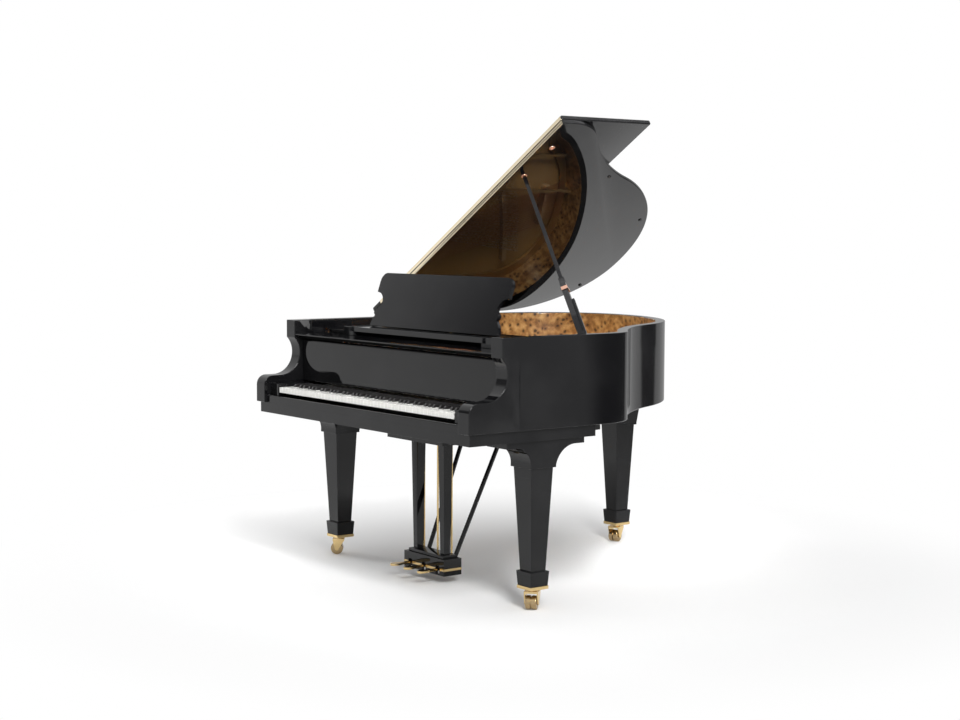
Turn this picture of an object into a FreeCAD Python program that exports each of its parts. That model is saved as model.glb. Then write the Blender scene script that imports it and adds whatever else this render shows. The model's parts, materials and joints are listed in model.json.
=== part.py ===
import FreeCAD, Part
import Sketcher
import math
import os
import re

# Driving dimensions in millimetres and degrees. X runs from bass to treble, Y from the
# front of the arms to the tail, Z up from the floor; X = 0 is the middle of the case.
SIZES = [
    # case and its plan outline
    ("case_width", 1490),
    ("case_length", 1672),
    ("rim_top", 1016),
    ("rim_bottom", 677),
    ("rim_wall", 38),
    ("tail_corner_radius", 403),
    ("tail_flank_radius", 780),
    ("waist_radius", 1000),
    ("shoulder_radius", 220),
    ("treble_straight", 650),
    ("cut_margin", 10),
    # arms, seen from the side: an upright face over a round scoop over a rounded toe
    ("arm_thickness", 66),
    ("arm_setback", 147),
    ("scoop_centre_depth", 80),
    ("scoop_centre_height", 880),
    ("scoop_radius", 92),
    ("toe_radius", 40),
    ("cheek_length", 229),
    # lining, inner rim, belly rail and soundboard
    ("lining_thickness", 3),
    ("lining_bottom", 862),
    ("lining_drop", 2),
    ("inner_rim_wall", 45),
    ("inner_rim_bottom", 690),
    ("belly_front", 640),
    ("belly_thickness", 50),
    ("belly_bottom", 645),
    ("soundboard_bottom", 852),
    ("soundboard_thickness", 8),
    ("beam_width", 60),
    ("beam_height", 90),
    ("rib_width", 24),
    ("rib_height", 20),
    # iron plate, pin block and strings
    ("plate_gap", 0.3),
    ("plate_front", 340),
    ("plate_web_end", 556),
    ("plate_bottom", 872),
    ("plate_thickness", 14),
    ("plate_flange", 50),
    ("bar_width", 16),
    ("bar_post", 8),
    ("bar_post_length", 12),
    ("bar_edge", 14),
    ("bar_bottom", 926),
    ("bar_height", 22),
    ("pin_block_end", 530),
    ("pin_block_bottom", 846),
    ("pin_size", 6.5),
    ("pin_height", 34),
    ("pin_gap", 0.7),
    ("pin_row_front", 385),
    ("pin_row_step", 32),
    ("string_rise", 7),
    ("string_width", 2),
    ("bass_string_rise", 20),
    ("bass_string_width", 3.6),
    ("bass_notes", 20),
    ("tenor_lean", 14),
    ("bass_lean", 17),
    ("bass_break", 9),
    ("strike_line", 600),
    ("hitch_edge", 36),
    ("back_length", 95),
    ("bridge_width", 26),
    ("bridge_treble_in", 135),
    ("bridge_treble_depth", 690),
    ("bridge_middle_across", 230),
    ("bridge_middle_depth", 960),
    ("bridge_tenor_in", 165),
    ("bridge_tenor_depth", 1345),
    ("felt_front", 505),
    ("felt_width", 26),
    ("felt_gap", 0.4),
    # dampers
    ("damper_notes", 66),
    ("damper_front", 604),
    ("damper_length", 30),
    ("damper_width", 8),
    ("damper_height", 19),
    ("damper_gap", 0.3),
    ("damper_wire", 1.6),
    ("damper_wire_offset", 3.2),
    ("damper_wire_bottom", 790),
    # keybed and keyboard
    ("keybed_bottom", 634),
    ("keybed_inset", 13),
    ("keybed_end", 600),
    ("keyslip_thickness", 18),
    ("keyslip_top", 708),
    ("key_block_width", 61.5),
    ("key_block_end", 184),
    ("key_block_top", 756),
    ("key_end_space", 66.14),
    ("key_front", 33),
    ("key_top", 743),
    ("key_thickness", 22),
    ("key_gap", 1),
    ("key_head_length", 51),
    ("key_end", 430),
    ("sharp_front", 85.5),
    ("sharp_back", 180),
    ("sharp_height", 12),
    ("sharp_width", 10.4),
    ("balance_line", 240),
    ("frame_in", 73),
    # action
    ("hammer_pivot", 465),
    ("hammer_height", 822),
    ("hammer_reach", 121),
    ("hammer_blow", 22),
    ("hammer_strike_gap", 2),
    ("hammer_width", 8),
    ("rail_seat_gap", 0.4),
    ("hammer_rail_height", 22),
    ("back_rail_height", 24),
    # fallboard and stretcher
    ("fallboard_front", 188),
    ("fallboard_thickness", 22),
    ("fallboard_bottom", 762),
    ("fallboard_top", 936),
    ("fallboard_pivot", 775),
    ("fallboard_clearance", 1.5),
    ("pivot_pin_radius", 4),
    ("pivot_fit", 0.1),
    ("stretcher_front", 150),
    ("stretcher_end", 330),
    ("stretcher_bottom", 938.5),
    ("stretcher_top", 958),
    ("lip_depth", 12),
    ("lip_gap", 0.7),
    # music desk
    ("desk_rail_inner", 466),
    ("desk_rail_outer", 512),
    ("desk_rail_front", 285),
    ("desk_rail_end", 575),
    ("desk_rail_ledge", 28),
    ("desk_ledge_top", 975),
    ("desk_rail_top", 995),
    ("desk_arm_front", 520),
    ("desk_arm_width", 30),
    ("desk_shelf_gap", 0.3),
    ("desk_side_gap", 3),
    ("desk_bar_front", 290),
    ("desk_bar_depth", 15),
    ("ledge_groove_set", 28),
    ("ledge_groove_width", 2),
    ("ledge_groove_depth", 1.5),
    ("desk_bar_half", 440),
    ("desk_shelf_end", 500),
    ("desk_hinge_depth", 378),
    ("desk_hinge_gap", 0.4),
    ("desk_lean", 18.7),
    ("desk_height", 230),
    ("desk_half_width", 445),
    ("desk_thickness", 14),
    ("desk_corner_radius", 38),
    ("strut_width", 30),
    ("strut_thickness", 6),
    ("strut_angle", 62.8),
    ("strut_rise", 104),
    ("strut_sink", 4),
    ("strut_gap", 0.4),
    ("strut_pin_radius", 2),
    ("strut_pin_fit", 0.05),
    # lid and its front flap, in the lid's own frame with the hinge line as its origin
    ("lid_angle", 31.2),
    ("lid_hinge_standoff", 5),
    ("lid_hinge_lift", 1),
    ("lid_gap", 2.5),
    ("lid_thickness", 18),
    ("lid_overhang", 14),
    ("fold_line", 598),
    ("flap_width", 455),
    ("fold_gap", 0.5),
    ("leaf_thickness", 1.6),
    ("leaf_setback", 1.4),
    ("barrel_radius", 1.2),
    ("leaf_margin", 8),
    ("leaf_hinge_margin", 70),
    ("leaf_inset", 1.5),
    ("flap_round", 6),
    ("lid_hinge_length", 90),
    ("lid_hinge_first", 640),
    ("lid_hinge_pitch", 250),
    ("knuckle_radius", 4),
    ("knuckle_gap", 0.5),
    ("hinge_plate", 2),
    ("hinge_plate_drop", 42),
    ("hinge_plate_lift", 1.5),
    ("hinge_fit", 0.05),
    ("bumper_radius", 8),
    ("bumper_gap", 0.3),
    # lid prop
    ("prop_cup_reach", 1145),
    ("prop_cup_depth", 655),
    ("spare_cup_reach", 1345),
    ("cup_radius", 13),
    ("cup_height", 4),
    ("prop_base_in", 73),
    ("prop_base_depth", 590),
    ("prop_base_drop", 31),
    ("prop_tip_gap", 0.4),
        ("prop_pin_radius", 5),
    ("prop_pin_fit", 0.05),
    ("prop_wide", 34),
    ("prop_thick", 22),
    ("prop_wide_length", 250),
    ("prop_shoulder", 60),
    ("prop_shoulder_run", 34),
    ("prop_slim", 14),
    ("prop_tip_width", 11),
    ("catch_place", 225),
    ("catch_width", 14),
    ("catch_wall", 3),
    ("short_prop_length", 180),
    ("short_prop_size", 10),
    ("short_prop_width", 16),
    ("short_foot_wall", 7),
    ("short_prop_gap", 0.4),
    ("stow_turn", 134.4),
    ("bracket_plate", 7),
    ("bracket_tall", 46),
    ("bracket_wide", 52),
    # legs and casters
    ("front_leg_in", 85),
    ("front_leg_depth", 361),
    ("tail_leg_across", -186),
    ("tail_leg_in", 137),
    ("leg_top_width", 104),
    ("leg_foot_width", 68),
    ("leg_collar_width", 120),
    ("leg_collar_height", 8),
    ("leg_collar_bottom", 530),
    ("cuff_top", 143),
    ("cuff_top_width", 88),
    ("cuff_bottom_width", 80),
    ("cuff_bottom", 88),
    ("bracket_lip", 23),
    ("bracket_reach", 195),
    ("bracket_back_run", 154),
    ("bracket_back_bend", 95),
    ("bracket_front_reach", 171),
    ("bracket_front_run", 122),
    ("bracket_front_bend", 68),
    ("tail_cap_width", 150),
    ("tail_plate_width", 190),
    ("tail_plate_depth", 220),
    ("tail_plate_thickness", 14),
    ("tail_plate_in", 32),
    ("band_height", 12),
    ("band_proud", 2),
    ("stem_radius", 8),
    ("stem_fit", 0.05),
    ("stem_length", 44),
    ("wheel_radius", 26),
    ("roller_width", 19),
    ("roller_groove", 5),
    ("roller_round", 4),
    ("wheel_side_gap", 0.6),
    ("fork_clearance", 9),
    ("fork_boss", 9),
    ("fork_front", 32),
    ("fork_back", 18),
    ("ring_gap", 0.3),
    ("bass_swivel", 143),
    ("treble_swivel", -140),
    ("tail_swivel", -160),
    ("fork_wall", 5),
    ("fork_plate", 8),
    ("fork_trail", 14),
    ("axle_radius", 4),
    ("axle_fit", 0.05),
    # pedal lyre
    ("lyre_head_half", 190),
    ("lyre_head_front", 288),
    ("lyre_head_end", 470),
    ("lyre_head_bottom", 561),
    ("post_across", 92),
    ("post_depth", 374),
    ("post_top_width", 38),
    ("post_top_depth", 44),
    ("post_foot_width", 26),
    ("post_foot_depth", 30),
    ("box_half", 137),
    ("box_front", 335),
    ("box_end", 421),
    ("box_bottom", 34),
    ("box_top", 100),
    ("box_wall", 11),
    ("step_inset", 20),
    ("step_depth_inset", 9),
    ("step_height", 12),
    ("pedal_pitch", 94),
    ("pedal_tip", 240),
    ("pedal_end", 408.5),
    ("pedal_pivot", 368),
    ("pedal_bottom", 52),
    ("pedal_thickness", 9),
    ("pedal_stem_width", 16),
    ("pedal_paddle_width", 34),
    ("pedal_paddle_length", 58),
    ("pedal_slot_gap", 4),
    ("pedal_slot_drop", 14),
    ("pedal_pin_radius", 4),
    ("pedal_pin_fit", 0.05),
    ("pedal_boss_wall", 5),
    ("rod_depth", 404),
    ("rod_radius", 4),
    ("rod_gap", 0.3),
    ("rod_bore_gap", 1),
    ("rod_top", 668),
    ("brace_radius", 9),
    ("brace_foot_across", 91),
    ("brace_foot_height", 92),
    ("brace_head_across", 127),
    ("brace_head_depth", 665),
]

NOTES = 88
FIRST_LETTER = 9
WHITE_STEPS = (0, 2, 4, 5, 7, 9, 11)

doc = FreeCAD.newDocument("grand_piano")
sheet = doc.addObject("Spreadsheet::Sheet", "sizes")
for row, (alias, number) in enumerate(SIZES, start=1):
    sheet.set("A%d" % row, alias)
    sheet.set("B%d" % row, str(number))
    sheet.setAlias("B%d" % row, alias)
doc.recompute()
ALIASES = {alias for alias, number in SIZES}
nodes = []


def linked(rule):
    """The rule with every size named in it pointed at the sheet."""
    return re.sub(r"[a-z_]+", lambda m: "sizes." + m.group() if m.group() in ALIASES else m.group(), rule)


def size(rule):
    """The present value of a rule, as a plain number."""
    return float(sheet.evalExpression(rule))


def bind(thing, prop, rule):
    thing.setExpression(prop, linked(rule))


def place(thing, x="0", y="0", z="0"):
    for axis, rule in zip("xyz", (x, y, z)):
        bind(thing, "Placement.Base." + axis, rule)


def box(name, x, y, z, length, width, height):
    """A plain block from its low corner and its three sides."""
    block = doc.addObject("Part::Box", name)
    place(block, x, y, z)
    bind(block, "Length", length)
    bind(block, "Width", width)
    bind(block, "Height", height)
    return block


def rod(name, x, y, z, radius, height, axis=(0, 0, 1)):
    """A round bar that starts at a point and runs along an axis."""
    bar = doc.addObject("Part::Cylinder", name)
    bar.Placement.Rotation = FreeCAD.Rotation(FreeCAD.Vector(0, 0, 1), FreeCAD.Vector(*axis))
    place(bar, x, y, z)
    bind(bar, "Radius", radius)
    bind(bar, "Height", height)
    return bar


def taper(name, x, y, z, foot_width, foot_depth, top_width, top_depth, height):
    """A four-sided tapering block about an upright axis, standing at height z."""
    block = doc.addObject("Part::Wedge", name)
    block.Placement.Rotation = FreeCAD.Rotation(FreeCAD.Vector(1, 0, 0), 90)
    place(block, x, y, z)
    rules = {"Xmin": "-(%s) / 2" % foot_width, "Xmax": "(%s) / 2" % foot_width,
             "Zmin": "-(%s) / 2" % foot_depth, "Zmax": "(%s) / 2" % foot_depth,
             "X2min": "-(%s) / 2" % top_width, "X2max": "(%s) / 2" % top_width,
             "Z2min": "-(%s) / 2" % top_depth, "Z2max": "(%s) / 2" % top_depth,
             "Ymin": "0", "Ymax": height}
    for prop, rule in rules.items():
        bind(block, prop, rule)
    return block


def fuse(name, *pieces):
    joined = doc.addObject("Part::MultiFuse", name)
    joined.Shapes = list(pieces)
    return joined


def cut(name, base, *tools):
    result = base
    for count, tool in enumerate(tools, start=1):
        step = doc.addObject("Part::Cut", name if count == len(tools) else "%s_cut%d" % (name, count))
        step.Base = result
        step.Tool = tool
        result = step
    return result


def common(name, first, second):
    shared = doc.addObject("Part::MultiCommon", name)
    shared.Shapes = [first, second]
    return shared


def mirror(name, thing):
    """The same piece on the other side of the middle of the case."""
    twin = doc.addObject("Part::Mirroring", name)
    twin.Source = thing
    twin.Normal = FreeCAD.Vector(1, 0, 0)
    return twin


def group(name, *pieces):
    bundle = doc.addObject("Part::Compound", name)
    bundle.Links = list(pieces)
    return bundle


def solids(name, shapes):
    """A node of many like solids, worked out note by note."""
    feature = doc.addObject("Part::Feature", name)
    feature.Shape = Part.makeCompound(shapes)
    return feature


def node(name, thing):
    thing.Label = name
    nodes.append(thing)
    return thing


def body(name):
    return doc.addObject("PartDesign::Body", name)


def sketch(owner, name, role, offset="0"):
    """A sketch on one of the body's own planes, moved along the plane's normal."""
    drawing = owner.newObject("Sketcher::SketchObject", name)
    plane = next(p for p in owner.Origin.OriginFeatures if p.Role == role)
    drawing.AttachmentSupport = [(plane, "")]
    drawing.MapMode = "FlatFace"
    bind(drawing, "AttachmentOffset.Base.z", offset)
    return drawing


def fix(drawing, geometry, corner, x=None, y=None):
    """Hold a point of the drawing at rules measured from its origin."""
    for kind, rule in (("DistanceX", x), ("DistanceY", y)):
        if rule is not None:
            index = drawing.addConstraint(Sketcher.Constraint(kind, -1, 1, geometry, corner, size(rule)))
            bind(drawing, "Constraints[%d]" % index, rule)


def radius(drawing, geometry, rule):
    index = drawing.addConstraint(Sketcher.Constraint("Radius", geometry, size(rule)))
    bind(drawing, "Constraints[%d]" % index, rule)


def outline(drawing, points):
    """A closed outline. Each point is (x, y) or (x, y, radius): the radius makes the stretch to
    the next point an arc, with its centre on the left when positive and on the right when negative. A
    half circle is held by its centre instead."""
    spots = [FreeCAD.Vector(size(p[0]), size(p[1]), 0) for p in points]
    ends = []
    for i, point in enumerate(points):
        a = spots[i]
        b = spots[(i + 1) % len(points)]
        if len(point) == 2:
            geometry = drawing.addGeometry(Part.LineSegment(a, b))
            ends.append((geometry, 1, 2))
            continue
        bend = size(point[2])
        chord = b - a
        left = FreeCAD.Vector(-chord.y, chord.x, 0).normalize()
        rise = math.sqrt(max(bend ** 2 - chord.Length ** 2 / 4, 0))
        centre = (a + b) * 0.5 + left * math.copysign(rise, bend)
        first, last = (a, b) if bend > 0 else (b, a)
        angles = [math.atan2((p - centre).y, (p - centre).x) for p in (first, last)]
        circle = Part.Circle(centre, FreeCAD.Vector(0, 0, 1), abs(bend))
        geometry = drawing.addGeometry(Part.ArcOfCircle(circle, *angles))
        ends.append((geometry, 1, 2) if bend > 0 else (geometry, 2, 1))
        if rise > 0.001:
            radius(drawing, geometry, "abs(%s)" % point[2])
        elif abs(chord.x) < abs(chord.y):
            fix(drawing, geometry, 3, x=point[0])
        else:
            fix(drawing, geometry, 3, y=point[1])
    for i, point in enumerate(points):
        before = ends[i - 1]
        drawing.addConstraint(Sketcher.Constraint("Coincident", before[0], before[2], ends[i][0], ends[i][1]))
        fix(drawing, ends[i][0], ends[i][1], point[0], point[1])
    return drawing


def pad(owner, drawing, length):
    block = owner.newObject("PartDesign::Pad", owner.Name + "_pad")
    block.Profile = drawing
    bind(block, "Length", length)
    return block


def pocket(owner, drawing, length):
    hollow = owner.newObject("PartDesign::Pocket", owner.Name + "_pocket")
    hollow.Profile = drawing
    bind(hollow, "Length", length)
    return hollow


def case_circles(inset):
    """Centres and radii of the four round stretches of the case outline, drawn in by an inset:
    tail corner, tail flank, waist (bending the other way, touching both neighbours) and shoulder."""
    half = size("case_width / 2") - inset
    length = size("case_length") - inset
    corner = size("tail_corner_radius") - inset
    flank = size("tail_flank_radius") - inset
    waist = size("waist_radius") + inset
    shoulder = size("shoulder_radius") - inset
    c_corner = FreeCAD.Vector(corner - half, length - corner, 0)
    c_flank = FreeCAD.Vector(corner - half, length - flank, 0)
    c_shoulder = FreeCAD.Vector(half - shoulder, size("treble_straight"), 0)
    span = c_shoulder - c_flank
    along = ((flank + waist) ** 2 - (shoulder + waist) ** 2 + span.Length ** 2) / (2 * span.Length)
    across = math.sqrt((flank + waist) ** 2 - along ** 2)
    unit = FreeCAD.Vector(span).normalize()
    c_waist = c_flank + unit * along + FreeCAD.Vector(-unit.y, unit.x, 0) * across
    return (c_corner, corner), (c_flank, flank), (c_waist, waist), (c_shoulder, shoulder)


def case_outline(owner, name, inset, front, height, bass=None):
    """The plan of the case, drawn in by an inset, with another one for the bass side where that differs, and
    closed by a straight front line."""
    bass = bass or inset
    drawing = sketch(owner, name, "XY_Plane", height)
    (c1, r1), (c2, r2), (c3, r3), (c4, r4) = case_circles(size(inset))
    half = size("case_width / 2 - (%s)" % inset)
    bass_half = size("case_width / 2 - (%s)" % bass)
    shift = size("(%s) - (%s)" % (bass, inset))
    c1, r1 = c1 + FreeCAD.Vector(0, shift, 0), r1 - shift
    low = size(front)
    turn_flank = math.atan2(c3.y - c2.y, c3.x - c2.x)
    turn_shoulder = math.atan2(c3.y - c4.y, c3.x - c4.x)
    up = FreeCAD.Vector(0, 0, 1)
    drawing.addGeometry([
        Part.LineSegment(FreeCAD.Vector(-bass_half, low, 0), FreeCAD.Vector(-bass_half, c1.y, 0)),
        Part.ArcOfCircle(Part.Circle(c1, up, r1), math.pi / 2, math.pi),
        Part.ArcOfCircle(Part.Circle(c2, up, r2), turn_flank, math.pi / 2),
        Part.ArcOfCircle(Part.Circle(c3, up, r3), turn_flank - math.pi, turn_shoulder - math.pi),
        Part.ArcOfCircle(Part.Circle(c4, up, r4), 0, turn_shoulder),
        Part.LineSegment(FreeCAD.Vector(half, c4.y, 0), FreeCAD.Vector(half, low, 0)),
        Part.LineSegment(FreeCAD.Vector(half, low, 0), FreeCAD.Vector(-bass_half, low, 0))])
    for a, end_a, b, end_b in ((0, 2, 1, 2), (1, 1, 2, 2), (2, 1, 3, 1), (3, 2, 4, 2), (4, 1, 5, 1)):
        drawing.addConstraint(Sketcher.Constraint("Tangent", a, end_a, b, end_b))
    drawing.addConstraint(Sketcher.Constraint("Coincident", 5, 2, 6, 1))
    drawing.addConstraint(Sketcher.Constraint("Coincident", 6, 2, 0, 1))
    for line in (0, 5):
        drawing.addConstraint(Sketcher.Constraint("Vertical", line))
    drawing.addConstraint(Sketcher.Constraint("Vertical", 1, 3, 2, 3))
    radius(drawing, 1, "tail_corner_radius - (%s)" % bass)
    radius(drawing, 2, "tail_flank_radius - (%s)" % inset)
    radius(drawing, 3, "waist_radius + (%s)" % inset)
    radius(drawing, 4, "shoulder_radius - (%s)" % inset)
    fix(drawing, 0, 1, "(%s) - case_width / 2" % bass, front)
    fix(drawing, 5, 2, "case_width / 2 - (%s)" % inset, front)
    fix(drawing, 1, 3, y="case_length - tail_corner_radius + (%s) - (%s)" % (bass, inset))
    fix(drawing, 4, 3, y="treble_straight")
    return drawing


def case_slab(name, inset, front, bottom, height):
    """A slab of the whole case outline."""
    slab = body(name)
    pad(slab, case_outline(slab, name + "_plan", inset, front, bottom), height)
    return slab


def case_ring(name, outer, inner, front, bottom, height):
    """A wall that follows the case outline round and is open at the front."""
    ring = case_slab(name, outer, front, bottom, height)
    hole = case_outline(ring, name + "_inside", inner, "(%s) - cut_margin" % front, "(%s) + (%s)" % (bottom, height))
    pocket(ring, hole, height)
    return ring


# Where the round scoop of the arm meets its upright face, and how high the scoop's floor lies.
SCOOP_CHORD = "sqrt(scoop_radius ^ 2 - (arm_setback - scoop_centre_depth) ^ 2)"
FACE_FOOT = "scoop_centre_height + " + SCOOP_CHORD
SCOOP_FLOOR = "scoop_centre_height - scoop_radius"
ARM_FRONT = [
    ("arm_setback", FACE_FOOT, "-scoop_radius"),
    ("scoop_centre_depth", SCOOP_FLOOR),
    ("toe_radius", SCOOP_FLOOR, "toe_radius"),
    ("0", SCOOP_FLOOR + " - toe_radius")]
ARM_INNER = "case_width / 2 - arm_thickness"
RIM_INNER = "case_width / 2 - rim_wall"
WALL_INNER = "rim_wall + lining_thickness"
OCTAVE = "(case_width - 2 * arm_thickness - 2 * key_end_space) * 7 / 52"
FRAME_HALF = "(case_width / 2 - arm_thickness - frame_in)"
KEY_BLOCK = "(case_width / 2 - arm_thickness - key_block_width)"
STRING = "(plate_bottom + plate_thickness + string_rise)"
BASS_STRING = "(plate_bottom + plate_thickness + string_rise + bass_string_rise)"
FRONT_LEG = "(case_width / 2 - front_leg_in)"
TAIL_LEG = "(case_length - tail_leg_in)"

# Rim: one bent wall, cut at the front to the side shape of the arms.
rim = case_ring("outer_rim", "0", "rim_wall", "0", "rim_bottom", "rim_top - rim_bottom")
front_cut = sketch(rim, "arm_shape", "YZ_Plane", "case_width / 2 + cut_margin")
outline(front_cut, [("-cut_margin", "rim_top + cut_margin"), ("arm_setback", "rim_top + cut_margin")]
        + ARM_FRONT + [("-cut_margin", SCOOP_FLOOR + " - toe_radius")])
pocket(rim, front_cut, "case_width + 2 * cut_margin")
node("outer_rim", rim)

# Cheeks: the inner halves of the arms, each with the pin that the fallboard turns on.
cheek = body("cheek")
cheek_side = sketch(cheek, "cheek_side", "YZ_Plane", ARM_INNER)
outline(cheek_side, [("0", "rim_bottom"), ("cheek_length", "rim_bottom"), ("cheek_length", "rim_top"),
                     ("arm_setback", "rim_top")] + ARM_FRONT)
pad(cheek, cheek_side, "arm_thickness - rim_wall")
FALL_AXIS = "fallboard_front + fallboard_thickness / 2"
cheek_pin = rod("cheek_pin", ARM_INNER + " - 12", FALL_AXIS, "fallboard_pivot", "pivot_pin_radius", "20", (1, 0, 0))
treble_cheek = fuse("treble_cheek", cheek, cheek_pin)
node("arm_cheeks", group("arm_cheeks", treble_cheek, mirror("bass_cheek", treble_cheek)))

# Lining, inner rim and soundboard follow the same outline.
node("rim_lining", case_ring("rim_lining", "rim_wall", WALL_INNER, "cheek_length", "lining_bottom",
                             "rim_top - lining_drop - lining_bottom"))
node("inner_rim", case_ring("inner_rim", "rim_wall", "rim_wall + inner_rim_wall", "belly_front",
                            "inner_rim_bottom", "soundboard_bottom - inner_rim_bottom"))
node("soundboard", case_slab("soundboard", "rim_wall", "belly_front", "soundboard_bottom", "soundboard_thickness"))

# Belly rail across the case and three beams from it to the tail; ribs glued under the soundboard.
hollow = case_slab("case_hollow", "rim_wall + inner_rim_wall", "belly_front", "belly_bottom",
                   "soundboard_bottom - belly_bottom")
belly = box("belly_bar", "-case_width / 2", "belly_front", "belly_bottom", "case_width", "belly_thickness",
            "soundboard_bottom - belly_bottom")
beams = [common("belly_rail", hollow, belly)]
for name, middle in (("bass_beam", -430), ("middle_beam", -150), ("treble_beam", 130)):
    beam = box(name + "_bar", "%d - beam_width / 2" % middle, "belly_front + belly_thickness", "inner_rim_bottom",
               "beam_width", "case_length", "beam_height")
    beams.append(common(name, hollow, beam))
node("case_beams", group("case_beams", *beams))

ribs = []
for count in range(6):
    depth = "belly_front + belly_thickness + 60 + %d * 135" % count
    bar = box("rib_bar%d" % count, "-case_width / 2", depth, "soundboard_bottom - rib_height",
              "case_width", "rib_width", "rib_height")
    ribs.append(common("rib%d" % count, hollow, bar))
node("soundboard_ribs", group("soundboard_ribs", *ribs))

# Keybed with the three bores that the pedal rods pass through, key blocks and keyslip.
RODS = (("left", "-pedal_pitch"), ("middle", "0"), ("right", "pedal_pitch"))


def rod_bores(name, bottom, height):
    return [rod("%s_bore_%s" % (name, side), across, "rod_depth", bottom, "rod_radius + rod_bore_gap", height)
            for side, across in RODS]


bed = box("keybed_board", "keybed_inset - case_width / 2", "keybed_inset", "keybed_bottom",
          "case_width - 2 * keybed_inset", "keybed_end - keybed_inset", "rim_bottom - keybed_bottom")
node("keybed", cut("keybed", bed, *rod_bores("keybed", "keybed_bottom", "rim_bottom - keybed_bottom")))
KEYSLIP_BACK = "keybed_inset + keyslip_thickness"
block = box("treble_key_block", KEY_BLOCK, KEYSLIP_BACK, "rim_bottom", "key_block_width",
            "key_block_end - " + "(" + KEYSLIP_BACK + ")", "key_block_top - rim_bottom")
node("key_blocks", group("key_blocks", block, mirror("bass_key_block", block)))
slip = body("keyslip")
slip_side = sketch(slip, "keyslip_side", "YZ_Plane", "-(%s)" % ARM_INNER)
outline(slip_side, [("keybed_inset", "rim_bottom"), (KEYSLIP_BACK, "rim_bottom"),
                    (KEYSLIP_BACK, "keyslip_top - 3", "3"), (KEYSLIP_BACK + " - 3", "keyslip_top"),
                    ("keybed_inset + 5", "keyslip_top", "5"), ("keybed_inset", "keyslip_top - 5")])
pad(slip, slip_side, "case_width - 2 * arm_thickness")
node("keyslip", slip)

# Fallboard: a panel with a rounded top edge, turning on the cheeks' pins; the stretcher above it.
fall = body("fallboard_panel")
fall_side = sketch(fall, "fallboard_side", "YZ_Plane", "fallboard_clearance - (%s)" % ARM_INNER)
outline(fall_side, [("fallboard_front", "fallboard_bottom"),
                    ("fallboard_front + fallboard_thickness", "fallboard_bottom"),
                    ("fallboard_front + fallboard_thickness", "fallboard_top - 6", "6"),
                    ("fallboard_front + fallboard_thickness - 6", "fallboard_top"),
                    ("fallboard_front + 9", "fallboard_top", "9"),
                    ("fallboard_front", "fallboard_top - 9")])
pad(fall, fall_side, "case_width - 2 * arm_thickness - 2 * fallboard_clearance")
socket = rod("fallboard_socket", ARM_INNER + " - 14", FALL_AXIS, "fallboard_pivot",
             "pivot_pin_radius + pivot_fit", "20", (1, 0, 0))
node("fallboard", cut("fallboard", fall, socket, mirror("fallboard_socket_bass", socket)))
stretcher_board = box("stretcher_board", "-(%s)" % ARM_INNER, "stretcher_front", "stretcher_bottom",
                      "case_width - 2 * arm_thickness", "stretcher_end - stretcher_front",
                      "stretcher_top - stretcher_bottom")
# A lip along its rear edge, broken for the desk rails, hides the plate from the player.
LIP_HALF = "desk_rail_inner - desk_rail_ledge - lip_gap"
LIP_HEIGHT = "desk_ledge_top - lip_gap - stretcher_top"
lip_middle = box("lip_middle", "-(%s)" % LIP_HALF, "stretcher_end - lip_depth", "stretcher_top",
                 "2 * (%s)" % LIP_HALF, "lip_depth", LIP_HEIGHT)
lip_side = box("lip_side", "desk_rail_outer + lip_gap", "stretcher_end - lip_depth", "stretcher_top",
               ARM_INNER + " - desk_rail_outer - lip_gap", "lip_depth", LIP_HEIGHT)
node("stretcher", fuse("stretcher", stretcher_board, lip_middle, lip_side, mirror("lip_side_bass", lip_side)))


def key_layout():
    """Every note as (is_white, left, right, slot_left, slot_right): the span of its key at the front
    and of its narrower lever behind, measured from the middle of the keyboard."""
    white = size(OCTAVE + " / 7")
    low_slot = 3 * white / 5
    high_slot = 4 * white / 7
    whites_before = 5
    start = -(52 / 2) * white
    notes = []
    for note in range(NOTES):
        step = note + FIRST_LETTER
        octave, letter = divmod(step, 12)
        base = start + (7 * octave - whites_before) * white
        if letter < 5:
            slot = base + letter * low_slot
            width = low_slot
        else:
            slot = base + 3 * white + (letter - 5) * high_slot
            width = high_slot
        is_white = letter in WHITE_STEPS
        left = base + WHITE_STEPS.index(letter) * white if is_white else slot
        right = left + white if is_white else slot + width
        if note == 0:
            slot, width = left, slot + width - left
        if note == NOTES - 1:
            width = right - slot
        notes.append((is_white, left, right, slot, slot + width))
    return notes


KEYS = key_layout()


def lifted(points, bottom, height):
    """A flat outline of (x, y) points at a height, raised into a solid."""
    corners = [FreeCAD.Vector(x, y, bottom) for x, y in points]
    return Part.Face(Part.makePolygon(corners + corners[:1])).extrude(FreeCAD.Vector(0, 0, height))


def side_cut(points, left, width):
    """A side outline of (y, z) points, carried across from left by a width."""
    corners = [FreeCAD.Vector(left, y, z) for y, z in points]
    return Part.Face(Part.makePolygon(corners + corners[:1])).extrude(FreeCAD.Vector(width, 0, 0))


def white_key(left, right, slot_left, slot_right):
    gap = size("key_gap") / 2
    front, end = size("key_front"), size("key_end")
    neck = front + size("key_head_length")
    points = [(left + gap, front), (right - gap, front), (right - gap, neck), (slot_right - gap, neck),
              (slot_right - gap, end), (slot_left + gap, end), (slot_left + gap, neck), (left + gap, neck)]
    tidy = [p for i, p in enumerate(points) if p != points[i - 1]]
    return lifted(tidy, size("key_top - key_thickness"), size("key_thickness"))


def sharp_key(slot_left, slot_right):
    middle = (slot_left + slot_right) / 2
    width = size("sharp_width")
    front, back, end = size("sharp_front"), size("sharp_back"), size("key_end")
    top, low = size("key_top"), size("key_top - key_thickness")
    crown = top + size("sharp_height")
    profile = [(front, low), (end, low), (end, top), (back + 1, top), (back, crown), (front + 9, crown), (front + 1, top)]
    return side_cut(profile, middle - width / 2, width)


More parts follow.
